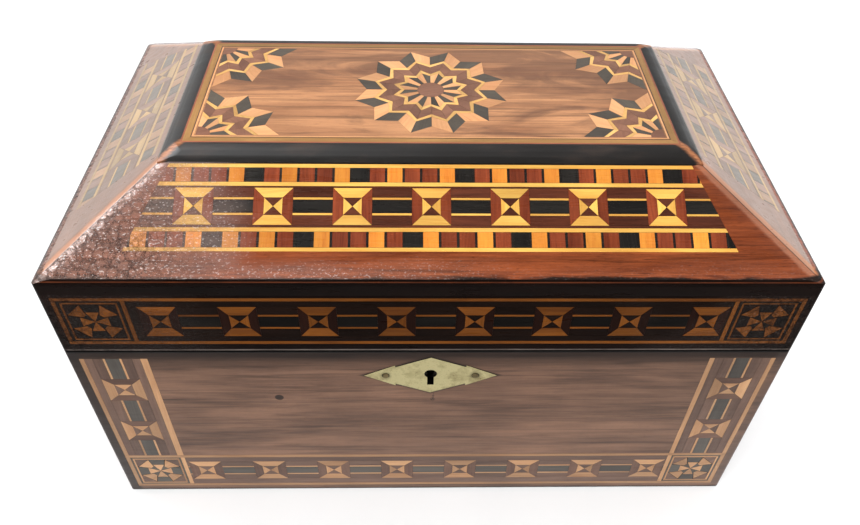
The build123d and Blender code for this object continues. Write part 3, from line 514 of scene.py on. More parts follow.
def base_front_change(g, place, colour):
    """Darker edges, a dark ring round the escutcheon that is partly dirt and partly painted shadow of the
    proud plate, one old plugged hole and a crack below the plate.
    """
    x, _, z = g.parts(place)
    colour = darkened_edges(g, x, z, colour)
    low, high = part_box("escutcheon")
    middle_z = (low.z + high.z) / 2 / MM
    across = g.math("DIVIDE", g.math("ABSOLUTE", x), high.x / MM)
    up = g.math("DIVIDE", g.math("ABSOLUTE", g.math("SUBTRACT", z, middle_z)), high.z / MM - middle_z)
    # Dark ring round the plate: partly dirt, partly painted shadow of its proud edge
    colour = g.mix(g.ramp(g.math("ADD", across, up), 1.03, 1.12, 0.8, 0.0), colour, srgb(24, 15, 11))
    plug = g.ramp(distance_to(g, x, z, PLUG_X, PLUG_Z), PLUG_RADIUS, PLUG_RADIUS + 0.4, 0.9, 0.0)
    colour = g.mix(plug, colour, srgb(34, 22, 18))
    wander = g.ramp(g.noise(g.stretch(place, (0.5,) * 3), detail=4), 0.3, 0.7, -1.2, 1.2)
    slit = g.near(g.math("ADD", x, wander), CRACK_X, 0.08, 0.15)
    inside = g.math("MULTIPLY", g.ramp(z, CRACK_LOW, CRACK_LOW + 1), g.ramp(z, CRACK_HIGH, CRACK_HIGH - 1))
    return g.mix(g.math("MULTIPLY", slit, inside), colour, srgb(30, 18, 14))


def ebonised():
    """Black stained and polished wood with brown rubbed places, and pale bare wood at the hips that is partly
    wear and partly a painted highlight of the rounded hip.
    """
    g = Surface("ebonised_wood")
    vector = g.object_mm("x")
    fibre = g.noise(g.stretch(vector, (0.08, 1.6, 1.6)), detail=5)
    rub = g.noise(g.stretch(vector, (0.03, 0.1, 0.1)), detail=6, roughness=0.7)
    colour = g.mix(g.ramp(rub, 0.52, 0.74, 0.0, 0.7), srgb(26, 23, 21), srgb(60, 47, 40))
    distance = g.math("ABSOLUTE", hip_distance(g, vector))
    # Pale wood at the hips: partly the black worn through, partly a painted highlight of the rounded hip
    worn_and_lit = g.ramp(g.math("ADD", distance, g.ramp(rub, 0.3, 0.7, -1.4, 1.4)), 0.8, 2.4, 0.9, 0.0)
    colour = g.mix(worn_and_lit, colour, g.mix(g.ramp(fibre, 0.3, 0.7), srgb(104, 54, 30), srgb(188, 122, 76)))
    scratch = g.noise(g.stretch(vector, (0.25, 3.0, 3.0)), detail=3)
    g.set(Base_Color=colour, Roughness=g.ramp(rub, 0.3, 0.7, 0.42, 0.6), Coat_Weight=0.2, Coat_Roughness=0.36,
          Normal=g.bump(scratch, 0.16, 0.1 * MM, g.bump(fibre, 0.1, 0.1 * MM)))
    return g.material


def glue():
    """Dark dirt and glue that shows in the joints of the inlay."""
    g = Surface("glue_line")
    speck = g.noise(g.stretch(g.object_mm(), (0.8,) * 3), detail=3)
    g.set(Base_Color=g.mix(speck, srgb(26, 15, 10), srgb(48, 30, 20)), Roughness=0.75)
    return g.material


def metal(name, dark, light, rough, tarnish=0.5, brush=0.3, shine=1.0, change=None):
    """Old metal: bright where rubbed, tarnished in patches, finely scratched."""
    g = Surface(name)
    vector = g.object_mm("x")
    patch = g.noise(g.stretch(vector, (0.16,) * 3), detail=6, roughness=0.65)
    fine = g.noise(g.stretch(vector, (0.5, 6, 6)), detail=3)
    pits = g.noise(g.stretch(vector, (1.7,) * 3, offset=(5, 5, 1)), detail=2)
    pitted = g.ramp(pits, 0.62, 0.72, 0.0, 0.5)
    stain = g.math("ADD", g.ramp(patch, 0.45, 0.68, 0.0, tarnish), pitted, clamp=True)
    colour = g.mix(stain, light, dark)
    if change:
        colour = change(g, vector, colour)
    g.set(Base_Color=colour, Metallic=g.ramp(stain, 0.0, 1.0, shine, shine * 0.75),
          Roughness=g.ramp(patch, 0.3, 0.7, rough, rough + 0.22),
          Normal=g.bump(pits, 0.2, 0.1 * MM, g.bump(fine, brush, 0.05 * MM)))
    return g.material


def cloth(name, dark, light, pile):
    """Felt, baize or velvet with a soft nap."""
    g = Surface(name)
    vector = g.object_mm()
    nap = g.noise(g.stretch(vector, (1.9,) * 3), detail=6, roughness=0.7)
    wear = g.noise(g.stretch(vector, (0.03,) * 3), detail=4)
    colour = g.mix(g.math("MULTIPLY", g.ramp(nap, 0.3, 0.7), g.ramp(wear, 0.25, 0.75, 0.5, 1.0)), dark, light)
    g.set(Base_Color=colour, Roughness=0.92, Sheen_Weight=pile, Sheen_Roughness=0.4,
          Sheen_Tint=light, Normal=g.bump(nap, 0.5, 0.3 * MM))
    return g.material


def foil():
    """Dull lead-tin foil pressed onto paper, with creases."""
    g = Surface("tea_foil")
    vector = g.object_mm()
    crease = g.cracks(g.stretch(vector, (0.05,) * 3), 1.0)
    ripple = g.noise(g.stretch(vector, (0.18,) * 3), detail=6, roughness=0.7)
    g.set(Base_Color=g.mix(g.ramp(ripple, 0.35, 0.7), srgb(150, 150, 148), srgb(92, 92, 94)), Metallic=0.9,
          Roughness=g.ramp(ripple, 0.3, 0.7, 0.38, 0.6),
          Normal=g.bump(ripple, 0.5, 0.8 * MM, g.bump(g.ramp(crease, 0.0, 0.08), 0.5, 0.5 * MM)))
    return g.material


def bone():
    """Turned, polished and yellowed bone with fine dark flecks."""
    g = Surface("bone")
    vector = g.object_mm("z")
    age = g.noise(g.stretch(vector, (0.12,) * 3), detail=4)
    fleck = g.noise(g.stretch(vector, (0.7, 7, 7)), detail=2)
    colour = g.mix(g.ramp(age, 0.35, 0.7), srgb(236, 222, 190), srgb(206, 178, 130))
    g.set(Base_Color=g.mix(g.ramp(fleck, 0.62, 0.7, 0.0, 0.5), colour, srgb(120, 90, 60)), Roughness=0.28,
          Subsurface_Weight=0.15, Subsurface_Radius=(0.002, 0.001, 0.0006),
          Normal=g.bump(fleck, 0.1, 0.1 * MM))
    return g.material


def glass():
    """Old, slightly grey blown glass."""
    g = Surface("bowl_glass")
    wave = g.noise(g.stretch(g.object_mm(), (0.05,) * 3), detail=3)
    g.set(Base_Color=srgb(232, 240, 238), Roughness=0.03, IOR=1.5, Transmission_Weight=0.96,
          Normal=g.bump(wave, 0.08, 1.0 * MM))
    return g.material


def shaded_walls_and_pin_stains(g, place, colour):
    """Painted shade on the keyhole walls and on every edge of the plate that doesn't face the front, and a
    dark ring and a stain round each pin of the escutcheon.
    """
    _, outward, _ = g.parts(g.add("ShaderNodeNewGeometry").outputs["True Normal"])
    # Painted shade: faces that don't look to the front turn nearly black
    colour = g.mix(g.ramp(outward, -0.6, -0.4), colour, srgb(14, 11, 8))
    x, _, z = g.parts(place)
    low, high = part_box("escutcheon_pins")
    pin_x, pin_z = high.x / MM - PIN_RADIUS, (low.z + high.z) / 2 / MM
    around = distance_to(g, g.math("ABSOLUTE", x), z, pin_x, pin_z)
    smudge = g.noise(g.stretch(place, (0.4,) * 3), detail=4)
    reach = g.math("ADD", around, g.ramp(smudge, 0.3, 0.7, -0.8, 0.8))
    colour = g.mix(g.ramp(reach, 1.3, 3.2, 0.6, 0.0), colour, srgb(96, 80, 46))
    return g.mix(g.ramp(around, 1.5, 1.8, 0.9, 0.0), colour, srgb(26, 20, 12))


def shaded_keyhole(g, place, colour):
    """Painted shade deep in the keyhole: wood and metal behind it turn nearly black."""
    x, _, z = g.parts(place)
    low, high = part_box("escutcheon_pins")
    across = g.near(x, 0.0, 5.0)
    up = g.near(z, (low.z + high.z) / 2 / MM, 9.0)
    # Painted shade inside the keyhole
    return g.mix(g.math("MULTIPLY", across, up), colour, srgb(6, 5, 4))


WOOD_CACHE = {}


def inlay_wood(kind, finish):
    """One wood of the inlay under the varnish of one panel."""
    key = (kind, finish)
    if key not in WOOD_CACHE:
        pores = {"box": 0.12, "salmon": 0.2, "ebony": 0.1}.get(kind, 0.35)
        WOOD_CACHE[key] = wood(f"{kind}_{finish}", *PALETTES[finish][kind], pores=pores, **FINISHES[finish])
    return WOOD_CACHE[key]


def paint(node, material):
    """Gives a carried-over CAD node its material."""
    slots = nodes[node].data.materials
    slots.clear()
    slots.append(material)


# ---------------------------------------------------------------- inlay: drawings of tiles
# A tile is (outline points, wood, grain angle in degrees). All drawings are in millimetres.
def tile(points, kind, grain=0.0):
    return (list(points), kind, grain)


def quad(x0, y0, x1, y1, kind, grain=0.0):
    return tile([(x0, y0), (x1, y0), (x1, y1), (x0, y1)], kind, grain)


def moved(tiles, dx, dy, angle=0.0):
    """Tiles turned about the drawing origin and then shifted."""
    c, s = math.cos(math.radians(angle)), math.sin(math.radians(angle))
    return [([(x * c - y * s + dx, x * s + y * c + dy) for x, y in points], kind, grain + angle)
            for points, kind, grain in tiles]


def clipped(tiles, window):
    """Parts of the tiles inside a convex window drawn counter-clockwise."""
    result = []
    for points, kind, grain in tiles:
        for index, a in enumerate(window):
            b = window[(index + 1) % len(window)]
            points = cut_by_line(points, a, b)
        if len(points) > 2 and area(points) > 0.02:
            result.append((points, kind, grain))
    return result


def cut_by_line(points, a, b):
    """The part of a polygon to the left of the line from a to b."""
    def side(p):
        return (b[0] - a[0]) * (p[1] - a[1]) - (b[1] - a[1]) * (p[0] - a[0])
    kept = []
    for index, p in enumerate(points):
        q = points[(index + 1) % len(points)]
        sp, sq = side(p), side(q)
        if sp >= 0:
            kept.append(p)
        if (sp > 0 > sq) or (sp < 0 < sq):
            t = sp / (sp - sq)
            kept.append((p[0] + (q[0] - p[0]) * t, p[1] + (q[1] - p[1]) * t))
    return kept


def area(points):
    return abs(sum(p[0] * q[1] - q[0] * p[1] for p, q in zip(points, points[1:] + points[:1]))) / 2


def shrunk(points, gap):
    """A convex outline drawn in by a small gap on every side."""
    if sum(p[0] * q[1] - q[0] * p[1] for p, q in zip(points, points[1:] + points[:1])) < 0:
        points = points[::-1]
    points = [p for p, q in zip(points, points[1:] + points[:1]) if math.dist(p, q) > 1e-4]
    result = []
    count = len(points)
    for index, p in enumerate(points):
        before, after = points[index - 1], points[(index + 1) % count]
        d1 = ((p[0] - before[0]), (p[1] - before[1]))
        d2 = ((after[0] - p[0]), (after[1] - p[1]))
        l1, l2 = math.hypot(*d1), math.hypot(*d2)
        n1 = (-d1[1] / l1, d1[0] / l1)
        n2 = (-d2[1] / l2, d2[0] / l2)
        scale = gap / max(0.25, 1 + n1[0] * n2[0] + n1[1] * n2[1])
        result.append((p[0] + (n1[0] + n2[0]) * scale, p[1] + (n1[1] + n2[1]) * scale))
    return result


SQUARE_CENTRE = 0.235


def x_square(cx, cy, width, height, turned=False):
    """Square of four mitred pieces round a smaller square cut into four by its diagonals."""
    a, b = width / 2, height / 2
    i = SQUARE_CENTRE * (width + height) / 2
    outer = [(-a, -b), (a, -b), (a, b), (-a, b)]
    inner = [(-i, -i), (i, -i), (i, i), (-i, i)]
    tiles = []
    for k in range(4):
        m = (k + 1) % 4
        upright = (k % 2 == 1) != turned
        frame_wood = "red" if upright else "box"
        centre_wood = "box" if upright else "brown"
        run = 90.0 if k % 2 else 0.0
        tiles.append(tile([outer[k], outer[m], inner[m], inner[k]], frame_wood, run))
        tiles.append(tile([inner[k], inner[m], (0, 0)], centre_wood, run))
    return moved(tiles, cx, cy)


BAR_ROWS = ((0.0, 0.26, "brown"), (0.26, 0.32, "box"), (0.32, 0.68, "ebony"), (0.68, 0.74, "box"),
            (0.74, 1.0, "brown"))


def bar(x0, x1, cy, height):
    """Dark bar between two squares: ebony between two light lines in a brown ground."""
    low = cy - height / 2
    return [quad(x0, low + start * height, x1, low + end * height, kind) for start, end, kind in BAR_ROWS]


def chain(x0, x1, cy, width, height, centres, turned=False):
    """Row of squares at the given centres with bars between them and out to both ends."""
    tiles = []
    edge = x0
    for centre in centres:
        if centre - width / 2 > edge:
            tiles += bar(edge, centre - width / 2, cy, height)
        tiles += x_square(centre, cy, width, height, turned)
        edge = centre + width / 2
    if x1 > edge:
        tiles += bar(edge, x1, cy, height)
    return tiles


BLOCK_WOODS = {"K": "ebony", "O": "orange", "R": "red"}


def blocks(low, high, pitch, first, row):
    """Row of coloured blocks with black slivers between, from the middle of the first block."""
    sliver = 0.13 * pitch
    tiles = []
    for step, letter in enumerate(row):
        middle = first + step * pitch
        end = middle + (pitch - sliver) / 2
        tiles.append(quad(middle - (pitch - sliver) / 2, low, end, high, BLOCK_WOODS[letter], 90.0))
        tiles.append(quad(end, low, end + sliver, high, "ebony", 90.0))
    return tiles


# Radius of each ring of a star on a tip ray and on the valley ray beside it, from the points to the hub
STAR_RINGS = ((33.4, 27.7), (25.1, 20.8), (23.3, 18.8), (16.6, 12.9), (13.9, 11.3), (5.8, 5.8))
STAR_SECTOR = 15


def polar(radius, degrees):
    return radius * math.cos(math.radians(degrees)), radius * math.sin(math.radians(degrees))


def star(cx, cy, first_tip, light_first):
    """Twelve-pointed star in rings: points, light zigzag, brown zigzag, light zigzag, rays and a disc."""
    tiles = []
    for step in range(360 // STAR_SECTOR):
        a0 = first_tip + step * STAR_SECTOR
        a1 = a0 + STAR_SECTOR
        starts_at_tip = step % 2 == 0
        near, far = (0, 1) if starts_at_tip else (1, 0)
        light = starts_at_tip == light_first
        kinds = ("salmon" if light else "slate", "box", "brown", "box", "slate" if light else "salmon")
        for outer, inner, kind in zip(STAR_RINGS, STAR_RINGS[1:], kinds):
            points = [polar(outer[near], a0), polar(outer[far], a1),
                      polar(inner[far], a1), polar(inner[near], a0)]
            tiles.append(tile(points, kind, (a0 + a1) / 2 + (0 if kind in ("salmon", "slate") else 90)))
    tiles.append(tile([polar(STAR_RINGS[-1][0], a) for a in range(0, 360, STAR_SECTOR)], "brown", 20))
    return moved(tiles, cx, cy)


PINWHEEL_LINE = 0.85
PINWHEEL_HALF = 9.3
# One quarter of the flower: each piece's outline, drawn for a field of half-width PINWHEEL_HALF, and its wood
PINWHEEL_PIECES = (
    ([(0, 0), (2.4, 5.0), (-2.4, 5.0)], "box"),
    ([(2.6, 5.0), (3.4, 9.3), (-3.4, 9.3), (-2.6, 5.0)], "ebony"),
    ([(2.4, 3.6), (3.6, 2.4), (8.8, 3.6), (3.6, 8.8)], "box"),
    ([(0, 0), (5.0, 2.4), (3.6, 2.4), (2.4, 3.6), (2.4, 5.0)], "slate"),
    ([(3.6, 9.3), (3.7, 8.9), (8.9, 3.7), (9.3, 3.6), (9.3, 9.3)], "brown"),
)


def pinwheel(cx, cy, field):
    """Small corner square: dark and light frame lines round a field with a light eight-piece flower."""
    tiles = []
    size = field / 2
    for kind in ("slate", "box"):
        inner = size - PINWHEEL_LINE
        for k in range(4):
            outline = [(-size, -size), (size, -size), (inner, -inner), (-inner, -inner)]
            tiles += moved([tile(outline, kind)], 0, 0, 90 * k)
        size = inner
    scale = size / PINWHEEL_HALF
    for k in range(4):
        for points, kind in PINWHEEL_PIECES:
            scaled = [(x * scale, y * scale) for x, y in points]
            tiles += moved([tile(scaled, kind, 40)], 0, 0, -90 * k)
    return moved(tiles, cx, cy)


# ---------------------------------------------------------------- inlay: meshes
class MeshMaker:
    """Collects faces with material numbers and per-point grain and tone."""

    def __init__(self):
        self.points = []
        self.faces = []
        self.kinds = []
        self.grain = []
        self.tone = []

    def prism(self, plate, outline, low, high, kind, grain=None, tone=0.5):
        """Closed block from a convex or mild outline, with its top at the higher level."""
        first = len(self.points)
        count = len(outline)
        for height in (low, high):
            for x, y in outline:
                self.points.append(plate.at(x, y, height))
                self.grain.append(grain(x, y) if grain else (x, y, height))
                self.tone.append(tone)
        self.faces.append([first + count + k for k in range(count)])
        self.faces.append([first + count - 1 - k for k in range(count)])
        for k in range(count):
            m = (k + 1) % count
            self.faces.append([first + k, first + m, first + count + m, first + count + k])
        self.kinds += [kind] * (count + 2)

    def finish(self, name, materials, smooth=False):
        mesh = bpy.data.meshes.new(name)
        mesh.from_pydata(self.points, [], self.faces)
        for material in materials:
            mesh.materials.append(material)
        mesh.polygons.foreach_set("material_index", self.kinds)
        mesh.polygons.foreach_set("use_smooth", [smooth] * len(self.faces))
        grain = mesh.attributes.new("grain", "FLOAT_VECTOR", "POINT")
        grain.data.foreach_set("vector", [value for point in self.grain for value in point])
        tone = mesh.attributes.new("tone", "FLOAT", "POINT")
        tone.data.foreach_set("value", self.tone)
        mesh.update()
        piece = bpy.data.objects.new(name, mesh)
        bpy.context.scene.collection.objects.link(piece)
        return piece


def inlay(name, plate, tiles, finish, body, replaced=None, bed=None, raised=0.0, seed=1):
    """Panel of separate close-fitted tiles over a dark glue bed."""
    dice = random.Random(seed)
    kinds = sorted({kind for _, kind, _ in tiles})
    maker = MeshMaker()
    for points, kind, angle in tiles:
        outline = shrunk(points, GLUE_GAP)
        turn = math.radians(angle + dice.uniform(-4, 4))
        c, s = math.cos(turn), math.sin(turn)
        shift = (dice.uniform(-400, 400), dice.uniform(-400, 400), dice.uniform(-400, 400))

        def along_grain(x, y, c=c, s=s, shift=shift):
            return (x * c + y * s + shift[0], y * c - x * s + shift[1], shift[2])

        height = raised + dice.uniform(0, 0.02)
        maker.prism(plate, outline, -INLAY_DEPTH, height, kinds.index(kind), along_grain, dice.random())
    if bed:
        maker.prism(plate, bed, -BED_DEPTH, BED_TOP, len(kinds))
    piece = maker.finish(name, [inlay_wood(kind, finish) for kind in kinds] + [GLUE])
    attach(piece, body)
    if replaced:
        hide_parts(replaced)
    return piece


def box_outline(plate, node):
    """Corners of a node's box on a plate's drawing plane: left, bottom, right, top in millimetres."""
    low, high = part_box(node)
    flats = [plate.flat((x, y, z)) for x in (low.x, high.x) for y in (low.y, high.y) for z in (low.z, high.z)]
    xs = [x for x, _ in flats]
    ys = [y for _, y in flats]
    return min(xs), min(ys), max(xs), max(ys)


GLUE = glue()
# Letters of the block rows of each slope from its left end: K black, O orange, R red
FRONT_UPPER = "OKRORROKRORROKRORROKRORROKRORROKRO"
FRONT_LOWER = "RORRO" + "KOROR" + "KORROR" * 4 + "KO"
END_UPPER = "OKRORRO" * 3
END_LOWER = "KORROR" * 4
# Squares of each slope, and its two block rows as block pitch, middle of the first block and letters
SLOPES = {
    "front": {"squares": 7, "pitch": 30.5, "shift": -0.5, "upper": (6.83, -117.2, FRONT_UPPER),
              "lower": (6.93, -118.6, FRONT_LOWER), "finish": "slope"},
    "back": {"squares": 7, "pitch": 30.5, "shift": 0.0, "upper": (6.83, -117.2, FRONT_UPPER),
             "lower": (6.93, -118.6, FRONT_LOWER), "finish": "slope"},
    "left": {"squares": 3, "pitch": 30.0, "shift": 0.0, "upper": (6.85, -65.7, END_UPPER),
             "lower": (6.85, -78.0, END_LOWER), "finish": "end"},
    "right": {"squares": 3, "pitch": 30.0, "shift": 0.0, "upper": (6.85, -72.0, END_UPPER),
              "lower": (6.85, -73.5, END_LOWER), "finish": "end"},
}


def slope_rows(top, bottom, half, centre, plan):
    """All rows of a slope band, from the upper line down to the lower one, before the ends are cut."""
    fixed = (("line", 1.6), ("upper", 6.0), ("line", 1.7), ("strip", 0.7), ("chain", 0.0), ("strip", 1.0),
             ("line", 1.7), ("lower", 6.3), ("line", 1.6))
    size = top - bottom - sum(height for _, height in fixed)
    tiles = []
    high = top
    for row, height in fixed:
        low = high - (height or size)
        if row == "line":
            tiles.append(quad(-half, low, half, high, "box"))
        elif row == "strip":
            tiles.append(quad(-half, low, half, high, "brown"))
        elif row == "chain":
            first = centre + plan["shift"] - plan["pitch"] * (plan["squares"] - 1) / 2
            centres = [first + plan["pitch"] * k for k in range(plan["squares"])]
            tiles += chain(-half, half, (low + high) / 2, size, size, centres)
        else:
            tiles += blocks(low, high, *plan[row])
        high = low
    return tiles


def band_window(side):
    """The trapezium of a side's inlaid slope band, from its CAD mesh."""
    plate = slope_plate(side)
    flats = [plate.flat(v.co) for v in nodes[f"{side}_slope_band"].data.vertices]
    low = min(y for _, y in flats)
    high = max(y for _, y in flats)
    bottom = [x for x, y in flats if y - low < 1]
    top = [x for x, y in flats if high - y < 1]
    return [(min(bottom), low), (max(bottom), low), (max(top), high), (min(top), high)]


def slope_band(side, seed):
    """Inlaid band on one slope of the lid."""
    window = band_window(side)
    plan = SLOPES[side]
    centre = sum(x for x, _ in window[:2]) / 2
    tiles = slope_rows(window[2][1], window[0][1], window[1][0] + 10, centre, plan)
    inlay(f"{side}_band_inlay", slope_plate(side), clipped(tiles, window), plan["finish"], "lid",
          f"{side}_slope_band", window, seed=seed)


def window_of(x0, y0, x1, y1):
    return [(x0, y0), (x1, y0), (x1, y1), (x0, y1)]


def evenly(count, pitch, shift):
    """Centres of a row of squares about the middle, moved sideways by a shift."""
    return [pitch * (k - (count - 1) / 2) + shift for k in range(count)]


def upright_quad(sign, near, far, low, high, kind):
    """Upright strip between two distances from the middle, on the side of the sign."""
    x0, x1 = sorted((sign * near, sign * far))
    return quad(x0, low, x1, high, kind, 90)


def lid_front_inlay():
    """Inlaid band on the front of the lid, with a corner square at each end."""
    plate = side_plate("front")
    x0, z0, x1, z1 = box_outline(plate, "lid_front_band")
    line, strip, square, width = 1.7, 3.2, 24.5, 15.0
    cy = (z0 + z1) / 2
    low, high = z0 + line, z1 - line
    inner = x1 - 2 * line - square
    middle = inner + line + square / 2
    half = (high - low) / 2
    tiles = [quad(x0, z0, x1, low, "box"), quad(x0, high, x1, z1, "box")]
    for sign in (-1, 1):
        for edge in (x1 - line, inner):
            tiles.append(upright_quad(sign, edge, edge + line, low, high, "box"))
        tiles += pinwheel(sign * middle, cy, high - low)
        for gap in (-sign, sign):
            near, far = middle + gap * half, middle + gap * square / 2
            if abs(far - near) > 0.1:
                tiles.append(upright_quad(sign, near, far, low, high, "brown"))
    tiles.append(quad(-inner, low, inner, low + strip, "brown"))
    tiles.append(quad(-inner, high - strip, inner, high, "brown"))
    height = high - low - 2 * strip
    centres = evenly(8, 30.8, 1.4)
    first, last = centres[0] - width / 2, centres[-1] + width / 2
    tiles += chain(first, last, cy, width, height, centres)
    tiles.append(quad(-inner, cy - height / 2, first, cy + height / 2, "brown"))
    tiles.append(quad(last, cy - height / 2, inner, cy + height / 2, "brown"))
    inlay("lid_front_inlay", plate, tiles, "fascia", "lid", "lid_front_band", window_of(x0, z0, x1, z1),
          seed=21)


def base_bottom_inlay(plate, x0, z0, x1, z1, line, inner):
    """Band along the foot of the base front, with a corner square at each end."""
    square = z1 - z0 - 2 * line
    low, high = z0 + line, z1 - line
    tiles = [quad(x0, z0, x1, low, "box"), quad(x0, high, x1, z1, "box")]
    for sign in (-1, 1):
        for edge in (x1 - line, inner):
            tiles.append(upright_quad(sign, edge, edge + line, low, high, "box"))
        tiles += pinwheel(sign * (inner + line + square / 2), (z0 + z1) / 2, square)
    strip_low, strip_high = 4.4, 3.8
    tiles.append(quad(-inner, low, inner, low + strip_low, "brown"))
    tiles.append(quad(-inner, high - strip_high, inner, high, "brown"))
    chain_low, chain_high = low + strip_low, high - strip_high
    centres = evenly(8, 31.0, 0.3)
    tiles += chain(-inner, inner, (chain_low + chain_high) / 2, 15.6, chain_high - chain_low, centres)
    inlay("base_bottom_inlay", plate, tiles, "base", "base", "base_bottom_band", window_of(x0, z0, x1, z1),
          seed=31)


UPRIGHT_SQUARES = (20.9, 52.1)


def base_upright_inlay(plate, x1, line, inner):
    """Two upright bands at the ends of the base front, each with two squares above its foot."""
    _, low, _, high = box_outline(plate, "base_side_bands")
    square, width = 15.4, 16.2
    tiles = []
    for sign, inner_line in ((-1, 3.0), (1, 2.2)):
        middle = (inner + inner_line + x1 - line) / 2
        strips = (
            (inner, inner + inner_line, "box"), (inner + inner_line, middle - width / 2, "brown"),
            (middle + width / 2, x1 - line, "brown"), (x1 - line, x1, "box"),
        )
        for near, far, kind in strips:
            tiles.append(upright_quad(sign, near, far, low, high, kind))
        centres = [low + place for place in UPRIGHT_SQUARES]
        tiles += moved(chain(low, high, 0, square, width, centres), sign * middle, 0, 90)
    inlay("base_upright_inlay", plate, tiles, "base", "base", "base_side_bands", seed=32)


def base_inlay():
    """The three inlaid bands of the base front."""
    plate = side_plate("front")
    x0, z0, x1, z1 = box_outline(plate, "base_bottom_band")
    line = 2.0
    inner = x1 - 2 * line - (z1 - z0 - 2 * line)
    base_bottom_inlay(plate, x0, z0, x1, z1, line, inner)
    base_upright_inlay(plate, x1, line, inner)


# Border lines of the top from its edge inwards: width in millimetres and wood
TOP_LINES = ((0.7, "red"), (2.6, "satinwood"), (0.4, "ebony"), (0.8, "salmon"))


def top_inlay():
    """Stars and border lines of the flat top."""
    plate = Plate((0, 0, top_high.z), (1, 0, 0), (0, 1, 0))
    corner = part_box("top_stars")[1]
    corner_x, corner_y = corner.x / MM, corner.y / MM
    tiles = star(0, 0, STAR_SECTOR, False)
    window = window_of(-corner_x, -corner_y, corner_x, corner_y)
    for x in (-corner_x, corner_x):
        for y in (-corner_y, corner_y):
            tiles += clipped(star(x, y, 0.0, True), window)
    inlay("top_star_inlay", plate, tiles, "top", "lid", "top_stars", seed=41)
    lines = []
    x0, y0 = top_high.x / MM, top_high.y / MM
    for width, kind in TOP_LINES:
        x1, y1 = x0 - width, y0 - width
        for sign in (-1, 1):
            long_strip = [(-x0, y0 * sign), (x0, y0 * sign), (x1, y1 * sign), (-x1, y1 * sign)]
            end_strip = [(x0 * sign, -y0), (x0 * sign, y0), (x1 * sign, y1), (x1 * sign, -y1)]
            lines.append(tile(long_strip, kind, 0))
            lines.append(tile(end_strip, kind, 90))
        x0, y0 = x1, y1
    inlay("top_border_inlay", plate, lines, "top", "lid", raised=PROUD, seed=42)


for number, side in enumerate(SIDES):
    slope_band(side, 11 + number)
lid_front_inlay()
base_inlay()
top_inlay()

# ---------------------------------------------------------------- soft goods
TUFT_PITCH = 23.5


def sheet(name, low, high, step, height_at, faces_down, material, body, replaced):
    """Closed cloth pad in a box of space, with a modelled outer face and a flat back."""
    wide = int((high.x - low.x) / MM / step)
    deep = int((high.y - low.y) / MM / step)
    mesh = bpy.data.meshes.new(name)
    build = bmesh.new()
    back = high.z if faces_down else low.z
    grids = []
    for shown in (True, False):
        grid = []
        for i in range(wide + 1):
            for j in range(deep + 1):
                x = low.x + (high.x - low.x) * i / wide
                y = low.y + (high.y - low.y) * j / deep
                grid.append(build.verts.new((x, y, height_at(x / MM, y / MM) if shown else back)))
        grids.append(grid)
    row = deep + 1
    for grid, turned in zip(grids, (faces_down, not faces_down)):
        for i in range(wide):
            for j in range(deep):
                near, far = i * row + j, (i + 1) * row + j
                corners = [grid[k] for k in (near, far, far + 1, near + 1)]
                build.faces.new(corners[::-1] if turned else corners)
    rim = [(i * row, (i + 1) * row) for i in range(wide)]
    rim += [(wide * row + j, wide * row + j + 1) for j in range(deep)]
    rim += [((i + 1) * row + deep, i * row + deep) for i in reversed(range(wide))]
    rim += [(j + 1, j) for j in reversed(range(deep))]
    shown, hidden = grids
    for a, b in rim:
        corners = [hidden[a], hidden[b], shown[b], shown[a]]
        build.faces.new(corners[::-1] if faces_down else corners)
    build.to_mesh(mesh)
    build.free()
    mesh.polygons.foreach_set("use_smooth", [True] * len(mesh.polygons))
    mesh.materials.append(material)
    piece = bpy.data.objects.new(name, mesh)
    bpy.context.scene.collection.objects.link(piece)
    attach(piece, body)
    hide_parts(replaced)


def lid_padding():
    """Velvet pad tufted in diamonds, puffed between sunken buttons, on the underside of the lid."""
    low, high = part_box("lid_lining")
    thick = (high.z - low.z) / MM

    def height_at(x, y):
        across = abs(math.sin(math.pi * (x + y) / TUFT_PITCH))
        along = abs(math.sin(math.pi * (x - y) / TUFT_PITCH))
        edge = min(x - low.x / MM, high.x / MM - x, y - low.y / MM, high.y / MM - y)
        puff = (across * along) ** 0.4 * min(1.0, 0.2 + edge / 5)
        return high.z - (0.35 + (thick - 0.4) * puff) * MM

    sheet("lid_padding", low, high, 1.5, height_at, True, VELVET, "lid", "lid_lining")


def baize_felt():
    """Felt on the underside of the base, slightly lumpy and thinned at its cut edge."""
    low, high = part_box("baize")
    thick = (high.z - low.z) / MM

    def height_at(x, y):
        lumps = math.sin(x * 0.31 + 2 * math.sin(y * 0.17)) * math.sin(y * 0.27 + 2 * math.sin(x * 0.13))
        edge = min(x - low.x / MM, high.x / MM - x, y - low.y / MM, high.y / MM - y)
        thin = 0.22 * math.exp(-edge / 1.2)
        return low.z + (0.05 + 0.04 * lumps + thin * thick) * MM

    sheet("baize_felt", low, high, 2.5, height_at, True, FELT, "base", "baize")


# ---------------------------------------------------------------- carried-over CAD nodes
WALNUT_FINISH = {"rough": 0.42, "coat": 0.15, "craze": 0.05, "figure": 0.6, "grazing_sheen": 0.03}
WALNUT_PAIR = (srgb(72, 49, 38), srgb(148, 108, 84))
WALNUT = wood("walnut_back", *WALNUT_PAIR, "x", streaks=0.4, **WALNUT_FINISH)
WALNUT_END = wood("walnut_ends", *WALNUT_PAIR, "y", streaks=0.4, **WALNUT_FINISH)
WALNUT_FRONT = wood("walnut_base_front", *WALNUT_PAIR, "x", streaks=0.55, change=base_front_change,
                    **WALNUT_FINISH)
ROSE_PAIR = (srgb(84, 33, 14), srgb(160, 80, 40))
ROSE_SLOPE = wood("rosewood_slope", *ROSE_PAIR, "x", rough=0.27, coat=0.2, craze=0.9, streaks=0.7, pores=0.7,
                  zone="slope", haze=0.4, grazing_sheen=0.0, specular=0.25, change=hip_wear_and_highlight, bright_hip=True)
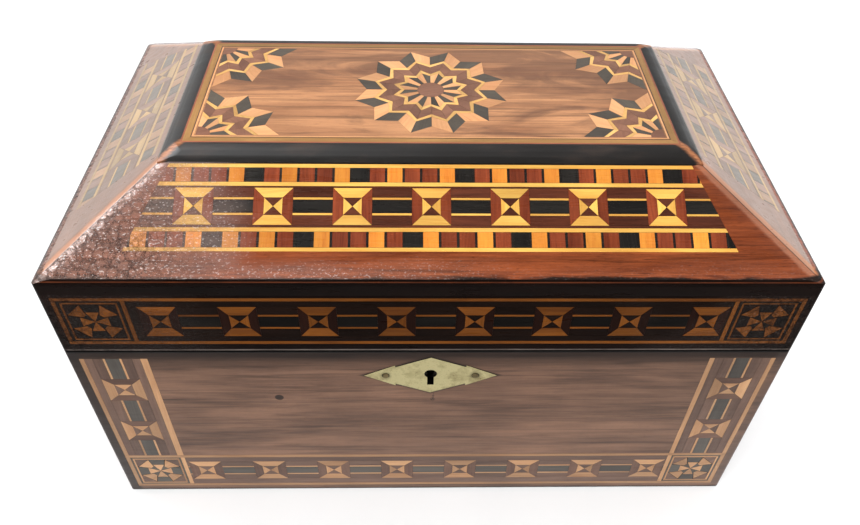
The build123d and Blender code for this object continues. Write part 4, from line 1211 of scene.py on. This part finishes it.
# Rosewood of the end slopes, greyed as a painted reflection of the pale surround at a flat angle
ROSE_END_WITH_SHEEN = wood("rosewood_end_with_sheen", srgb(96, 60, 46), srgb(150, 104, 84), "y", rough=0.33, coat=0.25, craze=0.2,
                streaks=0.4, grazing_sheen=0.3, change=hip_wear_and_highlight, bright_hip=True)
# Near-black rosewood of the lid's upright sides, partly dark shellac and partly painted shade
DARK_SHADED_PAIR = (srgb(8, 5, 4), srgb(28, 14, 9))
EAVE = wood("rosewood_eave", *DARK_SHADED_PAIR, "x", rough=0.3, coat=0.1, craze=0.9, zone="eave", haze=0.4,
            grazing_sheen=0.0, specular=0.3, change=eave_change)
ROSE_DARK = wood("rosewood_dark", *DARK_SHADED_PAIR, "x", change=lid_front_change, **FINISHES["fascia"])
ROSE_DARK_END = wood("rosewood_dark_end", *DARK_SHADED_PAIR, "y", change=lid_front_change, **FINISHES["fascia"])
TOP_FIELD = wood("top_rosewood", srgb(136, 86, 54), srgb(216, 154, 104), "x", rough=0.4, coat=0.12, craze=0.1,
                 streaks=0.7, figure=0.65, grazing_sheen=0.03, change=top_change)
RIM = wood("rim_rosewood", srgb(60, 26, 16), srgb(112, 56, 36), "x", rough=0.4, coat=0.2, craze=0.1)
INSIDE = wood("inside_rosewood", srgb(70, 30, 18), srgb(128, 66, 40), "y", rough=0.32, coat=0.3, craze=0.1,
              streaks=0.6)
PINE_PAIR = (srgb(176, 128, 74), srgb(222, 184, 124))
PINE = wood("pine", *PINE_PAIR, "x", rough=0.6, coat=0.0, craze=0.0, pores=0.1)
PINE_KEYHOLE = wood("pine_front", *PINE_PAIR, "x", rough=0.6, coat=0.0, craze=0.0, change=shaded_keyhole)
BRASS = metal("escutcheon_brass", srgb(128, 110, 66), srgb(204, 192, 142), 0.36, 0.6, 0.25, shine=0.4,
              change=shaded_walls_and_pin_stains)
PIN_BRASS = metal("pin_brass", srgb(52, 42, 28), srgb(140, 122, 84), 0.4, 0.6, shine=0.6)
LINK_BRASS = metal("link_brass", srgb(110, 92, 48), srgb(206, 186, 120), 0.34, 0.6, 0.2)
HINGE_BRASS = metal("hinge_brass", srgb(96, 76, 40), srgb(196, 168, 96), 0.3, 0.5, 0.25)
STEEL_PAIR = (srgb(62, 54, 48), srgb(168, 164, 158))
STEEL = metal("lock_steel", *STEEL_PAIR, 0.35, 0.6, 0.3)
LOCK_STEEL = metal("lock_case_steel", *STEEL_PAIR, 0.35, 0.6, 0.3, change=shaded_keyhole)
FELT = cloth("baize_felt", srgb(16, 44, 28), srgb(44, 92, 60), 0.4)
VELVET = cloth("lid_velvet", srgb(58, 8, 20), srgb(136, 34, 52), 1.0)

PAINTED = (
    (WALNUT_FRONT, ("base_front_veneer",)),
    (WALNUT, ("base_back_veneer",)),
    (WALNUT_END, ("base_end_veneers",)),
    (ROSE_DARK, ("lid_front_veneer", "lid_back_veneer", "lid_front_rail", "lid_back_rail")),
    (ROSE_DARK_END, ("lid_end_veneers", "lid_left_rail", "lid_right_rail")),
    (EAVE, ("lid_eave_edging",)),
    (ROSE_SLOPE, ("front_slope_veneer", "back_slope_veneer")),
    (ROSE_END_WITH_SHEEN, ("left_slope_veneer", "right_slope_veneer")),
    (TOP_FIELD, ("top_veneer",)),
    (ebonised(), ("top_moulding",)),
    (RIM, ("base_rim_strips", "lid_rim_strips")),
    (INSIDE, ("compartment_seats", "well_board", "well_collar", "left_caddy_lid", "right_caddy_lid",
              "partitions")),
    (PINE, ("base_back_board", "base_left_board", "base_right_board", "bottom_board", "slope_boards",
            "top_board")),
    (PINE_KEYHOLE, ("base_front_board",)),
    (BRASS, ("escutcheon",)),
    (PIN_BRASS, ("escutcheon_pins",)),
    (LINK_BRASS, ("link_plate",)),
    (HINGE_BRASS, ("hinge_base_leaves", "hinge_lid_leaves")),
    (STEEL, ("lock_bolt", "lock_spring", "lock_screws", "link_screws", "hinge_pins", "hinge_base_screws",
             "hinge_lid_screws")),
    (LOCK_STEEL, ("lock_case",)),
    (foil(), ("left_foil_lining", "right_foil_lining")),
    (bone(), ("left_lid_knob", "right_lid_knob")),
    (glass(), ("mixing_bowl",)),
    (FELT, ("baize",)),
    (VELVET, ("lid_lining",)),
)
for material, painted_nodes in PAINTED:
    for node in painted_nodes:
        paint(node, material)
lid_padding()
baize_felt()


# ---------------------------------------------------------------- camera, light and floor
CAMERA_AT = Vector((-8.26, -291.5, 358.05)) * MM
CAMERA_PITCH = math.radians(44.31)
CAMERA_YAW = math.radians(1.93)
CAMERA_ROLL = math.radians(1.44)
CAMERA_LENS = 32.3


def add_camera():
    """Camera at the viewing angle, rolled a little about its own line of sight."""
    ahead = Vector((math.sin(CAMERA_YAW), math.cos(CAMERA_YAW), 0))
    forward = ahead * math.cos(CAMERA_PITCH) - UP * math.sin(CAMERA_PITCH)
    level = Vector((math.cos(CAMERA_YAW), -math.sin(CAMERA_YAW), 0))
    above = level.cross(forward)
    right = level * math.cos(CAMERA_ROLL) + above * math.sin(CAMERA_ROLL)
    up = above * math.cos(CAMERA_ROLL) - level * math.sin(CAMERA_ROLL)
    data = bpy.data.cameras.new("camera")
    data.lens = CAMERA_LENS
    data.sensor_width = 36.0
    data.clip_start = 0.01
    camera = bpy.data.objects.new("camera", data)
    bpy.context.scene.collection.objects.link(camera)
    turn = Matrix((right, up, -forward)).transposed().to_4x4()
    camera.matrix_world = Matrix.Translation(CAMERA_AT) @ turn
    bpy.context.scene.camera = camera


def add_area(name, place, target, size, power):
    """Soft area light that isn't mirrored in the polish."""
    data = bpy.data.lights.new(name, "AREA")
    data.shape = "RECTANGLE"
    data.size, data.size_y = size
    data.energy = power
    light = bpy.data.objects.new(name, data)
    bpy.context.scene.collection.objects.link(light)
    light.visible_glossy = False
    light.location = place
    light.rotation_euler = (Vector(target) - Vector(place)).to_track_quat("-Z", "Y").to_euler()


def add_floor():
    """Wide pale sweep under the caddy; mirrored in polish it is dark a little way out, as under a flag."""
    mesh = bpy.data.meshes.new("floor")
    reach = 6.0
    drop = cad_box[0][2]
    corners = [(-reach, -reach, drop), (reach, -reach, drop), (reach, reach, drop), (-reach, reach, drop)]
    mesh.from_pydata(corners, [], [(0, 1, 2, 3)])
    floor = bpy.data.objects.new("floor", mesh)
    bpy.context.scene.collection.objects.link(floor)
    g = Surface("pale_floor")
    place = g.object_mm()
    dust = g.noise(g.stretch(place, (0.02,) * 3), detail=3)
    x, y, _ = g.parts(place)
    beyond_x = g.math("SUBTRACT", g.math("ABSOLUTE", x), HALF_X / MM)
    beyond_y = g.math("SUBTRACT", g.math("ABSOLUTE", y), HALF_Y / MM)
    out = g.math("MAXIMUM", beyond_x, beyond_y)
    far = g.math("MULTIPLY", g.ramp(out, 150, 550, 0.0, 0.85), g.ramp(y, -400, 0))
    mirrored = g.math("MAXIMUM", g.ramp(out, 5, 90, 0.6, 0.04), far)
    grey = g.add("ShaderNodeCombineColor")
    for channel in grey.inputs:
        g.link(mirrored, channel)
    in_polish = g.add("ShaderNodeLightPath").outputs["Is Glossy Ray"]
    seen = g.mix(dust, srgb(236, 236, 236), srgb(242, 242, 242))
    g.set(Base_Color=g.mix(in_polish, seen, grey.outputs[0]), Roughness=0.6)
    mesh.materials.append(g.material)
    floor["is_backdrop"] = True


WINDOW_FROM = Vector((-0.64, 0.2, 0.745)).normalized()
WINDOW_STRENGTH = 18.0


def add_world():
    """Studio surround: bright near the horizon, dim overhead, with one soft window high on the left."""
    world = bpy.data.worlds.new("studio")
    g = Graph(world)
    direction = g.add("ShaderNodeTexCoord").outputs["Generated"]
    x, y, height = g.parts(direction)
    glow = g.ramp(height, 0.1, 0.5, 1.0, 0.22)
    glow = g.math("MULTIPLY", glow, g.ramp(y, -0.6, 0.1, 0.06, 1.0))
    glow = g.math("MULTIPLY", glow, g.ramp(x, -0.6, 0.0, 0.75, 1.0))
    facing = g.add("ShaderNodeVectorMath", operation="DOT_PRODUCT")
    g.link(direction, facing.inputs[0])
    facing.inputs[1].default_value = WINDOW_FROM
    window = g.ramp(facing.outputs["Value"], 0.945, 0.975, 0.0, WINDOW_STRENGTH)
    polish = g.math("ADD", glow, window)
    in_polish = g.add("ShaderNodeLightPath").outputs["Is Glossy Ray"]
    strength = g.math("ADD", g.math("MULTIPLY", in_polish, polish),
                      g.math("MULTIPLY", g.math("SUBTRACT", 1.0, in_polish), 0.75))
    background = g.add("ShaderNodeBackground")
    background.inputs["Color"].default_value = (0.96, 0.98, 1.0, 1.0)
    g.link(strength, background.inputs["Strength"])
    output = g.add("ShaderNodeOutputWorld")
    g.link(background.outputs[0], output.inputs["Surface"])
    bpy.context.scene.world = world


add_camera()
add_floor()
add_world()
add_area("key_light", (-0.5, -0.6, 1.2), (0, 0, 0.1), (1.0, 0.8), 12)
add_area("back_light", (0.2, 1.2, 0.9), (0, 0, 0.15), (1.6, 0.8), 14)
add_area("fill_light", (0.9, -0.5, 0.8), (0, 0, 0.1), (0.8, 0.8), 6)
bpy.context.scene.view_settings.view_transform = "Standard"

visual_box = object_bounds()
boxes = {"cad": cad_box, "visual": visual_box}
{name: [list(corner) for corner in box] for name, box in boxes.items()}
